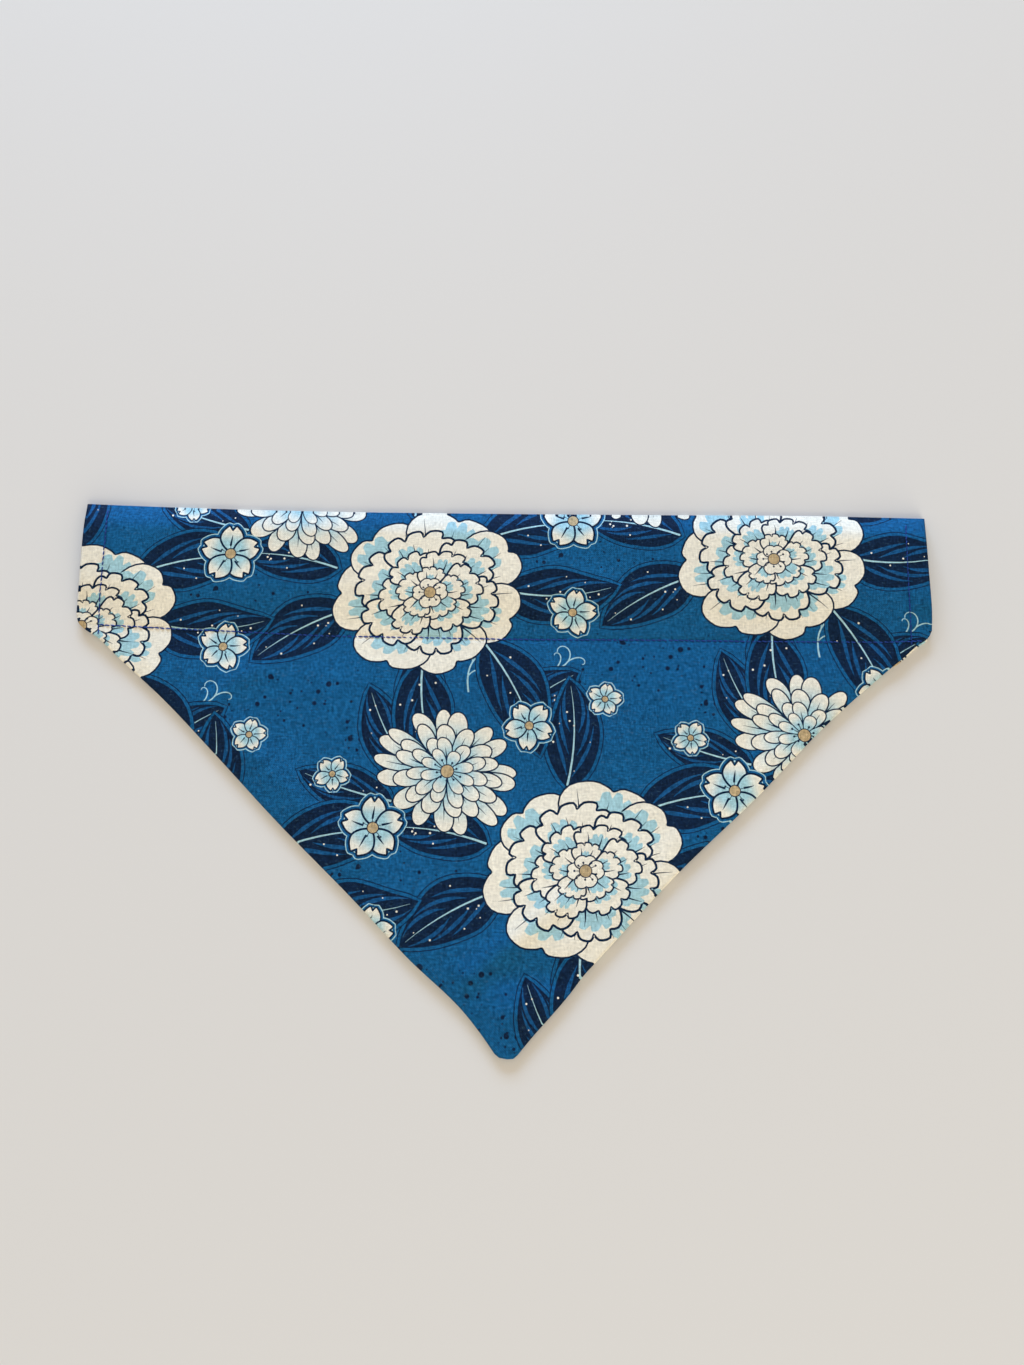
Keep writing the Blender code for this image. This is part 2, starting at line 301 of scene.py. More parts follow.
def from_hems(at: Array) -> Array:
    """How far each place is from the nearer of the two hem stitchings."""
    return np.min([np.abs(at[:, 0] - hem.x_at(at[:, 1])) for hem in HEM_LINES], axis=0)


def from_mouths(at: Array) -> Array:
    """How far each place is from the nearer end of the channel."""
    x, y = at.T
    return np.minimum(x - LEFT_END.x_at(y), RIGHT_END.x_at(y) - x)


@dataclass
class Lie:
    """How the bandana lies: the heights of its two panels over the surface, in millimetres."""

    back_depth: float = 1.1
    layer_gap: float = 0.3
    front_depth: float = 1.0
    hem_extra: float = 0.3
    hem_from: float = 162.0
    hem_full: float = 171.0
    hem_low: float = -61.0
    channel_depth: float = 57.0
    rise_share: float = 0.17
    fall_from: float = 0.585
    lean: float = 0.2
    soft_fall: float = 0.4
    groove: float = 0.12
    groove_width: float = 1.6
    casing_groove: float = 0.3
    hem_groove: float = 0.26
    stitch_groove_width: float = 0.9
    body_loft: float = 0.95
    loft_reach: float = 13.0
    below_seam_reach: float = 20.0
    edge_drop: float = 0.25
    edge_drop_reach: float = 2.2
    smooth_edge: float = 2.0
    allowance_rise: float = 0.25
    allowance_width: float = 7.0
    allowance_fade: float = 2.5
    allowance_step: float = 1.5
    allowance_fill: float = 0.45
    fold_gain: float = 1.8
    ripple_lengths: tuple = (64.0, 47.0, 39.0, 30.0, 26.0, 21.0, 17.0, 14.0)
    ripple_rise: float = 0.0011
    held_ripple: float = 0.15
    stitch_dent: float = 0.07
    stitch_dent_width: float = 1.1
    pucker: float = 0.055
    pucker_width: float = 4.2
    edge_pucker: float = 0.05
    edge_pucker_from: float = 5.0
    edge_pucker_width: float = 4.0
    cloth: float = 0.5
    slope_step: float = 0.2
    hem_layer: float = 0.55
    hem_turn: float = 9.2
    hem_fold_past: float = 0.6
    hem_step: float = 0.9
    hem_close: float = 3.0
    seam_level: float = 1.15
    seam_gap: float = 0.02
    seam_pinch: float = 2.4
    seam_full: float = 2.2
    seam_open: float = 4.6
    back_groove: float = 0.24
    back_groove_width: float = 0.8
    back_lift: float = 0.05
    back_ripple: float = 0.4
    back_edge: float = 3.0
    stitch_pitch: float = 2.38
    seed: int = 8

    def hem_share(self, at: Array) -> Array:
        """1 where a hem's turned layer lies under the cloth, else 0, with a short step between."""
        return blend(self.hem_turn + self.hem_fold_past - from_mouths(at), 0.0, self.hem_step)

    def channel_lift(self, x: Array, depth: Array) -> Array:
        """Lift the channel's front off the flat layers.

        Args:
            x: X of the places.
            depth: How far they are below the top edge.

        Returns:
            How far the front stands off.
        """
        crown = CROWN_LINE.y_at(x)
        share = np.clip(depth / self.channel_depth, 0.0, 1.0)
        rise = np.sin(np.minimum(share / self.rise_share, 1.0) * math.pi / 2)
        lean = np.clip((share - self.rise_share) / (self.fall_from - self.rise_share), 0.0, 1.0)
        down = np.clip((share - self.fall_from) / (1.0 - self.fall_from), 0.0, 1.0)
        down += self.soft_fall * (blend(down, 0.0, 1.0) - down)
        return crown * rise * (1.0 - self.lean * lean - (1.0 - self.lean) * down)

    def ripples(self, at: Array) -> Array:
        """Add the soft unevenness of cotton that has been handled since it was pressed.

        Args:
            at: Places in plan.

        Returns:
            Heights of the ripples.
        """
        dice = np.random.default_rng(self.seed)
        total = np.zeros(len(at))
        for length in self.ripple_lengths:
            angle, phase = dice.uniform(0, math.pi), dice.uniform(0, 2 * math.pi)
            travel = at[:, 0] * math.cos(angle) + at[:, 1] * math.sin(angle)
            total += length * np.sin(travel * 2 * math.pi / length + phase)
        return total * self.ripple_rise

    def puckers(self, at: Array, slope: Near) -> Array:
        """Draw the small waves of the stitch lines and the edge seam into the cloth.

        Args:
            at: Places in plan.
            slope: The places measured against the edge seam.

        Returns:
            Heights of the waves.
        """
        x, y = at.T
        total = np.zeros(len(at))
        beside_hems = 1.0 * (y > self.hem_low)
        for away, travel, share in ((from_casing(at), x, 1.0), (from_hems(at), y, beside_hems)):
            dents = np.cos(travel * 2 * math.pi / self.stitch_pitch)
            close = -self.stitch_dent * dents * hump(away, self.stitch_dent_width)
            waves = self.pucker * STITCH_WAVES.at(travel) * hump(away, self.pucker_width)
            total += share * (close + waves)
        near_edge = hump(slope.away - self.edge_pucker_from, self.edge_pucker_width)
        return total + self.edge_pucker * EDGE_WAVES.at(slope.travel) * near_edge

    def folds(self, at: Array) -> Array:
        """Add up the cloth's ridges and hollows.

        Args:
            at: Places in plan.

        Returns:
            Heights of the folds.
        """
        total = np.zeros(len(at))
        for fold in FOLDS.values():
            away = line(fold.start, fold.end).nearest(at).away
            total += self.fold_gain * fold.height * hump(away, fold.width)
        return total

    def grooves(self, at: Array, depth: Array) -> Array:
        """Press the stitch lines into the front.

        Args:
            at: Places in plan.
            depth: How far they are below the top edge.

        Returns:
            Depths of the grooves.
        """
        wide = self.groove * hump(depth - self.channel_depth, self.groove_width)
        casing = self.casing_groove * hump(from_casing(at), self.stitch_groove_width)
        hems = self.hem_groove * hump(from_hems(at), self.stitch_groove_width)
        return wide + casing + hems * (at[:, 1] > self.hem_low)

    def front_top(self, at: Array) -> Array:
        """Find the height of the front's printed face.

        Args:
            at: Places in plan.

        Returns:
            Heights over the surface.
        """
        depth = TOP_LINE.y_at(at[:, 0]) - at[:, 1]
        slope = SLOPES.nearest(at)
        hems = blend(np.abs(at[:, 0]), self.hem_from, self.hem_full)
        stack = self.back_depth + self.layer_gap + self.front_depth + 2 * self.hem_extra * hems
        in_channel = depth < self.channel_depth
        held = blend(slope.away, 0.0, self.loft_reach)
        below = blend(depth, self.channel_depth, self.channel_depth + self.below_seam_reach)
        body = self.body_loft * below * held
        lift = np.where(in_channel, self.channel_lift(at[:, 0], depth) * held, body)
        loose = lift / np.where(in_channel, FULL_LIFT, self.body_loft)
        fade = blend(slope.away, self.allowance_width, self.allowance_width + self.allowance_fade)
        allowance = self.allowance_rise * (1.0 - fade)
        edge = np.minimum(slope.away, np.abs(depth))
        drop = self.edge_drop * (1.0 - blend(edge, 0.0, self.edge_drop_reach))
        fine = self.ripples(at) * np.clip(loose, self.held_ripple, 1.0) + self.puckers(at, slope)
        level = stack + lift + self.folds(at) * loose + allowance - self.grooves(at, depth) - drop
        return level + fine * blend(edge, 0.0, self.smooth_edge)

    def filling(self, at: Array) -> Array:
        """Find how far a panel's inner side is filled towards the seam.

        Args:
            at: Places in plan.

        Returns:
            1 at seams, 0 away from them.
        """
        away = SLOPES.nearest(at).away
        seam = np.minimum(away, np.abs(TOP_LINE.y_at(at[:, 0]) - at[:, 1]))
        full = self.allowance_width - self.allowance_step
        allowance = 1.0 - blend(seam, full, self.allowance_width)
        pinch = hump(from_casing(at), self.seam_pinch)
        closed = 1.0 - blend(from_mouths(at), self.hem_turn, self.hem_turn - self.hem_close)
        inner = np.maximum(self.allowance_fill * allowance, pinch) * closed
        return np.maximum(inner, 1.0 - blend(seam, self.seam_full, self.seam_open))

    def front_under(self, at: Array) -> Array:
        """Find the height of the front's inner face.

        Args:
            at: Places in plan.

        Returns:
            Heights over the surface.
        """
        top = self.front_top(at)
        run = (self.front_top(at + [self.slope_step, 0]) - top) / self.slope_step
        fall = (self.front_top(at + [0, self.slope_step]) - top) / self.slope_step
        thickness = self.cloth + self.hem_layer * self.hem_share(at)
        seam = self.seam_level + self.seam_gap
        thin = np.maximum(top - thickness * np.sqrt(1 + run**2 + fall**2), seam)
        return thin + (seam - thin) * self.filling(at)

    def back_inner(self, at: Array) -> Array:
        """Height of the back's inner face."""
        thin = self.cloth + self.hem_layer * self.hem_share(at)
        return thin + np.maximum(self.seam_level - self.seam_gap - thin, 0.0) * self.filling(at)

    def back_under(self, at: Array) -> Array:
        """Find the height of the back's printed face, which lies on the surface.

        Args:
            at: Places in plan.

        Returns:
            Heights over the surface.
        """
        slope = SLOPES.nearest(at)
        hems = hump(from_hems(at), self.back_groove_width) * (at[:, 1] > self.hem_low)
        grooves = np.minimum(hump(from_casing(at), self.back_groove_width) + hems, 1.0)
        lifted = self.back_lift + self.puckers(at, slope) + self.back_ripple * self.ripples(at)
        level = np.maximum(lifted, 0.0) * blend(slope.away, 0.0, self.back_edge)
        return self.back_groove * grooves + level


class Wash(NamedTuple):
    """A second dye that is full at one place and gone after a run from it."""

    dye: Dye
    start: Array
    run: Array


@dataclass(frozen=True)
class Area:
    """One printed area. Later areas lie over earlier ones."""

    ring: Array
    dye: Dye
    wash: Optional[Wash] = None

    def moved(self, turn: Array, shift: Array) -> "Area":
        """Turn the area about zero and then shift it.

        Args:
            turn: Matrix for rows of points.
            shift: Distance in millimetres.

        Returns:
            The area at its new place.
        """
        wash = self.wash and Wash(self.wash.dye, self.wash.start @ turn + shift, self.wash.run @ turn)
        return Area(self.ring @ turn + shift, self.dye, wash)


class PetalForm(Enum):
    """Outlines of petals: places across and along, as shares of a petal's width and length."""

    BROAD = (
        (-0.05, 0.00), (-0.26, 0.18), (-0.49, 0.52), (-0.46, 0.80), (-0.24, 0.95),
        (-0.06, 0.93), (0.02, 0.89), (0.12, 0.98), (0.36, 0.93), (0.50, 0.70), (0.44, 0.42),
        (0.22, 0.14), (0.05, 0.00),
    )
    RUFFLED = (
        (-0.06, 0.00), (-0.30, 0.22), (-0.50, 0.50), (-0.52, 0.66), (-0.42, 0.70),
        (-0.44, 0.84), (-0.30, 0.94), (-0.20, 0.84), (-0.12, 0.98), (0.04, 1.00), (0.08, 0.87),
        (0.20, 0.97), (0.36, 0.92), (0.34, 0.78), (0.48, 0.74), (0.52, 0.58), (0.40, 0.30),
        (0.06, 0.00),
    )
    CUPPED = (
        (-0.08, 0.00), (-0.42, 0.20), (-0.52, 0.55), (-0.34, 0.86), (-0.10, 0.90), (0.00, 0.82),
        (0.12, 0.92), (0.36, 0.88), (0.52, 0.52), (0.40, 0.18), (0.08, 0.00),
    )
    NOTCHED = (
        (-0.10, 0.00), (-0.36, 0.22), (-0.50, 0.50), (-0.42, 0.76), (-0.22, 0.96),
        (-0.16, 0.99), (-0.09, 0.90), (0.00, 0.81), (0.09, 0.90), (0.16, 0.99), (0.22, 0.96),
        (0.42, 0.76), (0.50, 0.50), (0.36, 0.22), (0.10, 0.00),
    )
    SLIM = (
        (-0.10, 0.00), (-0.36, 0.30), (-0.50, 0.68), (-0.36, 0.91), (-0.06, 1.00),
        (0.30, 0.93), (0.50, 0.70), (0.36, 0.30), (0.10, 0.00),
    )


def turned(degrees: float) -> Array:
    """The matrix that turns rows of points anticlockwise."""
    c, s = math.cos(math.radians(degrees)), math.sin(math.radians(degrees))
    return np.array([[c, s], [-s, c]])


def anticlockwise(ring: Array) -> Array:
    """The ring with its points in anticlockwise order."""
    x, y = ring.T
    return ring if (x * np.roll(y, -1) - y * np.roll(x, -1)).sum() > 0 else ring[::-1]


def closed_curve(marks: Array, steps: int) -> Array:
    """Draw a soft closed curve through marks.

    Args:
        marks: Places that the curve runs through.
        steps: Pieces between each two marks.

    Returns:
        The curve's points.
    """
    before, after, beyond = (np.roll(marks, k, axis=0) for k in (1, -1, -2))
    points = []
    for s in np.arange(steps) / steps:
        points.append(
            marks
            + 0.5 * s * (after - before)
            + s * s * (before - 2.5 * marks + 2 * after - 0.5 * beyond)
            + s**3 * (1.5 * marks - 1.5 * after + 0.5 * beyond - 0.5 * before)
        )
    return np.stack(points, axis=1).reshape(-1, 2)


def swollen(ring: Array, by: float) -> Array:
    """An anticlockwise ring moved outwards, or inwards if by is below zero."""
    return ring + by * outward(ring)


def stroke(path: Array, widths: Sequence[float], dye: Dye) -> Area:
    """Draw a line whose width changes along its path.

    Args:
        path: Points of the line's middle.
        widths: Widths at even steps along it.
        dye: The line's dye.

    Returns:
        The line as an area.
    """
    marks = np.linspace(0, 1, len(widths))
    half = np.interp(np.linspace(0, 1, len(path)), marks, widths)[:, None] / 2
    aside = right_of(np.gradient(path, axis=0)) * half
    return Area(anticlockwise(np.concatenate([path + aside, (path - aside)[::-1]])), dye)


def disc(at: Sequence[float], radius: float, dye: Dye, sides: int) -> Area:
    """A round spot."""
    angles = np.arange(sides) * 2 * math.pi / sides
    return Area(np.stack([np.cos(angles), np.sin(angles)], axis=1) * radius + np.array(at, float), dye)


def bent(points: Array, length: float, bend: float) -> Array:
    """Bend points that are drawn along +Y.

    Args:
        points: Places drawn along +Y from zero.
        length: Length over which the bend runs.
        bend: Turn over that length, in degrees.

    Returns:
        The bent points.
    """
    if abs(bend) < 0.01:
        return points
    x, y = points.T
    radius = length / math.radians(bend)
    angle = y / radius
    return np.stack([radius - (radius - x) * np.cos(angle), (radius - x) * np.sin(angle)], axis=1)


class Motif:
    """Something drawn round zero, which a print can lay at any place."""

    def areas(self) -> list[Area]:
        """The motif's areas, back to front."""
        raise NotImplementedError

    def placed(self, x: float, y: float, angle: float) -> list[Area]:
        """The motif's areas, turned by an angle in degrees and moved to a place."""
        return [area.moved(turned(angle), np.array([x, y])) for area in self.areas()]


@dataclass(frozen=True)
class PetalRing:
    """Like petals set round a flower's middle, in millimetres and degrees."""

    count: int
    root: float
    reach: float
    width: float
    turn: float
    form: PetalForm
    veins: int
    line: float
    spread: float
    patch: float = 0.0


@dataclass
class Flower(Motif):
    """A flower seen a little from its side, drawn from its outer petals inwards."""

    rings: tuple[PetalRing, ...]
    heart: float
    seed: int
    squash: float = 1.0
    wash: float = 0.0
    wash_from: float = 0.3
    halo: float = 0.0
    halo_line: float = 0.42
    anthers: int = 9

    def areas(self) -> list[Area]:
        """Draw the flower.

        Returns:
            All its areas, round its middle.
        """
        dice = np.random.default_rng(self.seed)
        petals = [self.petal(r, n, dice) for r in self.rings for n in range(r.count)]
        found = []
        if self.halo:
            faces = [areas[1].ring for areas in petals]
            for by, dye in ((self.halo_line, Dye.PALE), (0.0, Dye.GROUND)):
                found += [Area(swollen(face, self.halo + by), dye) for face in faces]
        return sum(petals, found) + self.middle(dice)

    def petal(self, ring: PetalRing, number: int, dice: np.random.Generator) -> list[Area]:
        """Draw one petal: its dark line, its face, a paler patch and its veins.

        Args:
            ring: The ring that it belongs to.
            number: Its number in the ring.
            dice: Source of its small differences.

        Returns:
            The petal's areas.
        """
        length = (ring.reach - ring.root) * dice.uniform(0.92, 1.06)
        width = ring.width * dice.uniform(1 - 0.14 * ring.spread, 1 + 0.14 * ring.spread)
        angle = ring.turn + 360 * number / ring.count + dice.uniform(-5, 5) * ring.spread
        bend = dice.uniform(-16, 16) * ring.spread
        mirror = -1 if dice.random() < 0.5 else 1
        tilt = turned(angle - 90) * np.array([1.0, self.squash])

        def place(points: Sequence) -> Array:
            """Points of the petal at their place in the flower."""
            return (bent(np.array(points, float), length, bend) + np.array([0.0, ring.root])) @ tilt

        marks = np.array(ring.form.value) * [width * mirror, length]
        face = anticlockwise(place(closed_curve(marks, 3 if length > 9 else 2)))
        wash = None
        if self.wash:
            start, end = place([(0, length * self.wash_from), (0, length * (self.wash_from + self.wash))])
            wash = Wash(Dye.PALE, start, end - start)
        found = [Area(swollen(face, ring.line), Dye.NAVY), Area(face, Dye.CREAM, wash)]
        if ring.patch:
            lean = dice.uniform(-0.16, 0.16) * width
            across = ring.patch * dice.uniform(0.5, 0.95)
            along = ring.patch * dice.uniform(0.85, 1.08)
            marks = np.array(PetalForm.RUFFLED.value) * [width, length] * [across * -mirror, along]
            found.append(Area(anticlockwise(place(closed_curve(marks + [lean, 0], 2))), Dye.PALE))
        for i in range(ring.veins):
            lean = (i - (ring.veins - 1) / 2) / max(ring.veins, 1)
            t = np.linspace(0.2, 0.60 + 0.20 * dice.random(), 5)
            x = lean * width * (0.30 + 0.85 * t) + 0.03 * width * np.sin(5 * t + number)
            path = place(np.stack([x, t * length], axis=1))
            found.append(stroke(path, (ring.line * 1.1, ring.line * 0.8, 0.12), Dye.NAVY))
        return found

    def middle(self, dice: np.random.Generator) -> list[Area]:
        """Draw the flower's heart: stalks with round tips, and a tan boss.

        Args:
            dice: Source of the stalks' small differences.

        Returns:
            The heart's areas.
        """
        found = []
        for i in range(self.anthers):
            angle = 360 * i / self.anthers + dice.uniform(-8, 8)
            reach = self.heart * dice.uniform(1.7, 2.3)
            tip = np.array([0.0, reach]) @ turned(angle) * np.array([1, self.squash])
            path = np.linspace(tip * 0.35, tip, 3)
            found.append(stroke(path, (self.heart * 0.16, self.heart * 0.10), Dye.NAVY))
            found.append(disc(tip, self.heart * 0.20, Dye.NAVY, 7))
        rim, boss = disc((0, 0), self.heart + 0.4, Dye.NAVY, 14), disc((0, 0), self.heart, Dye.TAN, 14)
        return [*found, rim, boss]


@dataclass
class Leaf(Motif):
    """A dark leaf with paler stripes beside its rib, a few light spots and a line round it."""

    length: float
    width: float
    bend: float
    seed: int
    stripes: int = 3
    stripe_width: float = 0.072
    stripe_reach: float = 0.46
    rim: float = 1.3
    rim_line: float = 0.4
    spot_spacing: float = 6.0

    def side(self, share: Array) -> Array:
        """Half the leaf's width at a share of its length."""
        return self.width / 2 * np.sin(math.pi * share**0.82) ** 0.85

    def laid(self, x: Array, share: Array) -> Array:
        """Places in the bent leaf from their distances beside its rib."""
        return bent(np.stack([x, share * self.length], axis=1), self.length, self.bend)

    def areas(self) -> list[Area]:
        """Draw the leaf from its root at zero along +Y.

        Returns:
            The leaf's areas.
        """
        dice = np.random.default_rng(self.seed)
        t = np.linspace(0, 1, 15)
        wave = 1 + 0.05 * np.sin(9 * t + self.seed)
        right, left = self.laid(self.side(t) * wave, t), self.laid(-self.side(t) * (2 - wave), t)
        ring = anticlockwise(np.concatenate([right, left[-2:0:-1]]))
        found = [
            Area(swollen(ring, self.rim + self.rim_line), Dye.NAVY),
            Area(swollen(ring, self.rim), Dye.GROUND),
            Area(ring, Dye.NAVY),
            stroke(self.laid(np.zeros(9), np.linspace(0.02, 0.93, 9)), (0.9, 0.6, 0.1), Dye.PALE),
        ]
        wide = self.stripe_width * self.width
        for side in (-1, 1):
            for start in 0.10 + 0.20 * np.arange(self.stripes):
                t = np.linspace(start, min(start + self.stripe_reach, 0.93), 7)
                share = 0.16 + 0.62 * ((t - start) / (t[-1] - start)) ** 0.8
                path = self.laid(side * self.side(t) * share, t)
                found.append(stroke(path, (0.15, wide, wide * 0.8, 0.12), Dye.MID))
        t = dice.uniform(0.15, 0.85, int(self.length / self.spot_spacing))
        for at in self.laid(dice.uniform(-0.8, 0.8, len(t)) * self.side(t), t):
            found.append(disc(at, dice.uniform(0.22, 0.5), Dye.CREAM, 7))
        return found


@dataclass
class Tendril(Motif):
    """A thin stem that ends in a curl, with short side curls."""

    length: float
    curl: float
    twigs: int = 0
    width: float = 0.75

    def path(self) -> Array:
        """Run the stem's middle line from zero along +Y into its curl.

        Returns:
            Points of the line.
        """
        s = np.linspace(0, 1, 22)
        heading = math.radians(90) + math.radians(self.curl) * (0.25 * s + 0.75 * s**3)
        step = self.length / len(s) * (1 - 0.45 * s)
        run = np.stack([np.cos(heading) * step, np.sin(heading) * step], axis=1)
        return np.concatenate([[(0.0, 0.0)], np.cumsum(run[:-1], axis=0)])

    def areas(self) -> list[Area]:
        """Draw the stem and its twigs.

        Returns:
            Their areas.
        """
        path = self.path()
        found = [stroke(path, (self.width, self.width * 0.8, self.width * 0.45), Dye.PALE)]
        for i in range(self.twigs):
            at, side = 4 + 4 * i, -1 if i % 2 else 1
            run = path[at + 1] - path[at]
            angle = math.degrees(math.atan2(run[1], run[0])) - 90 + side * 32
            twig = Tendril(self.length * 0.30, side * 250, width=self.width * 0.8)
            found += twig.placed(*path[at], angle)
        return found


def peony(seed: int) -> Flower:
    """The large flower, about 84 mm across."""
    rings = (
        PetalRing(7, 12, 44, 36, 8, PetalForm.BROAD, 5, 0.75, 1.0, 0.86),
        PetalRing(6, 8, 32, 27, 34, PetalForm.RUFFLED, 4, 1.0, 1.2, 0.82),
        PetalRing(6, 5, 22, 19, 6, PetalForm.RUFFLED, 3, 0.85, 1.2, 0.8),
        PetalRing(5, 3, 14, 13, 34, PetalForm.RUFFLED, 2, 0.7, 1.2, 0.75),
        PetalRing(4, 1, 8, 8, 10, PetalForm.CUPPED, 0, 0.55, 1.0),
    )
    return Flower(rings, heart=2.4, seed=seed, squash=0.84)


def aster(seed: int) -> Flower:
    """The middle-sized flower of many slim petals, about 62 mm across."""
    rings = (
        PetalRing(17, 9, 31, 7.6, 0, PetalForm.SLIM, 1, 0.6, 0.9),
        PetalRing(14, 6, 24, 7.0, 12, PetalForm.SLIM, 1, 0.6, 0.9),
        PetalRing(11, 4, 17.5, 6.2, 5, PetalForm.SLIM, 1, 0.55, 0.9),
        PetalRing(8, 2, 11.5, 5.2, 0, PetalForm.SLIM, 0, 0.45, 0.9),
    )
    return Flower(rings, heart=2.6, seed=seed, squash=0.8, wash=0.6)


def blossom(across: float, seed: int) -> Flower:
    """Draw up a small flower of five notched petals.

    Args:
        across: Its width.
        seed: Start of its small differences.

    Returns:
        The flower.
    """
    dark = max(0.42, 0.034 * across)
    root, width = 0.07 * across, 0.37 * across
    ring = PetalRing(5, root, across / 2, width, 18, PetalForm.NOTCHED, 1, dark, 0.2)
    halo = dark + 0.03 * across
    return Flower((ring,), heart=0.085 * across, seed=seed, wash=0.55, halo=halo, anthers=5)


class Spot(NamedTuple):
    """A motif, its place and its turn in the repeat."""

    motif: Motif
    x: float
    y: float
    angle: float


class Specks(NamedTuple):
    """A loose group of dark specks."""

    x: float
    y: float
    count: int
    spread: float


TENDRILS = (
    Spot(Tendril(46, 330, 3), -40, 34, 60),
    Spot(Tendril(46, -330, 3), -40, -30, 118),
    Spot(Tendril(46, 330, 3), -6, -46, 196),
    Spot(Tendril(40, 330, 3), 50, 74, 350),
)
LEAVES = (
    Spot(Leaf(53, 25, -30, 40), -22, 24, 66),
    Spot(Leaf(53, 24, 34, 41), -30, 2, 104),
    Spot(Leaf(55, 25, -26, 42), -24, -22, 140),
    Spot(Leaf(51, 24, 30, 43), 2, -32, 184),
    Spot(Leaf(48, 24, 24, 44), 34, -8, 252),
    Spot(Leaf(45, 21, 24, 45), 40, 10, 290),
    Spot(Leaf(46, 21, -26, 46), 70, 36, 318),
    Spot(Leaf(39, 20, 26, 47), 70, 56, 6),
    Spot(Leaf(39, 20, -26, 48), 34, 60, 40),
    Spot(Leaf(47, 22, 26, 49), 8, 34, 14),
    Spot(Leaf(42, 18, -14, 50), 80, 27, 280),
    Spot(Leaf(36, 17, -22, 51), 78, 18, 246),
)
BLOSSOMS = (
    Spot(blossom(26, 70), -62, 34, 0),
    Spot(blossom(14, 71), -44, 56, 30),
    Spot(blossom(20, 72), 88, -26, 12),
    Spot(blossom(20, 73), -44, -58, 40),
    Spot(blossom(14, 74), -8, 72, 10),
)
LAYERS = (TENDRILS, LEAVES, (Spot(aster(5), 58, 40, 24),), (Spot(peony(11), 0, 0, -14),), BLOSSOMS)
SPECKS = (
    Specks(-66, -44, 22, 8),
    Specks(-84, 20, 12, 6),
    Specks(50, -46, 30, 9),
    Specks(32, -64, 14, 6),
    Specks(100, 4, 14, 6),
    Specks(-10, 86, 10, 6),
    Specks(14, -70, 14, 6),
)


@dataclass
class FloralPrint:
    """The cloth's print: one repeat of flowers and leaves, stepped over the cloth."""

    start: tuple
    mirrored: bool = False
    step_a: tuple = (150.0, -18.0)
    step_b: tuple = (68.0, 118.0)
    reach: float = 75.0
    steps: int = 4
    low: tuple = (-192.0, -236.0)
    high: tuple = (192.0, 6.0)
    speck_seed: int = 3

    def layers(self) -> list[list[Area]]:
        """Draw one repeat.

        Returns:
            Its areas in layers, back to front.
        """
        dice = np.random.default_rng(self.speck_seed)
        dots = []
        for group in SPECKS:
            for at in np.array([group.x, group.y]) + dice.normal(0, group.spread, (group.count, 2)):
                dots.append(disc(at, 0.3 + 1.1 * dice.random() ** 3, Dye.NAVY, 8))
        drawn = [[motif.placed(x, y, angle) for motif, x, y, angle in layer] for layer in LAYERS]
        return [dots, *(sum(motifs, []) for motifs in drawn)]

    def areas(self) -> list[Area]:
        """Lay the print over the cloth.

        Returns:
            Every area that may reach into the cloth's box, back to front.
        """
        low, high = np.array(self.low), np.array(self.high)
        span = range(-self.steps, self.steps + 1)
        steps = [i * np.array(self.step_a) + j * np.array(self.step_b) for i in span for j in span]
        shifts = [np.array(self.start) + step for step in steps]
        near = [s for s in shifts if (s > low - self.reach).all() and (s < high + self.reach).all()]
        flip = np.diag([-1.0 if self.mirrored else 1.0, 1.0])
        found = []
        for layer in self.layers():
            for shift in near:
                found += [area.moved(flip, shift @ flip) for area in layer]
        found = [Area(anticlockwise(area.ring), area.dye, area.wash) for area in found]
        return [a for a in found if (a.ring.max(0) > low).all() and (a.ring.min(0) < high).all()]


def neighbours(triangles: Array) -> tuple[Array, Array, Array]:
    """Find the triangle on the other side of each triangle's edges.

    Args:
        triangles: Point numbers, three a row, anticlockwise.

    Returns:
        Starts and ends of all edges, and the number of the triangle beyond each or -1.
    """
    start = triangles.ravel()
    end = np.roll(triangles, -1, axis=1).ravel()
    size = int(triangles.max()) + 1
    code, wanted = start * size + end, end * size + start
    order = np.argsort(code)
    found = order[np.minimum(np.searchsorted(code[order], wanted), len(code) - 1)]
    return start, end, np.where(code[found] == wanted, found // 3, -1)


@dataclass
class PrintedFace:
    """The triangles of a printed face in plan, with the key of what is printed on each."""

    places: Array
    triangles: Array
    keys: Array


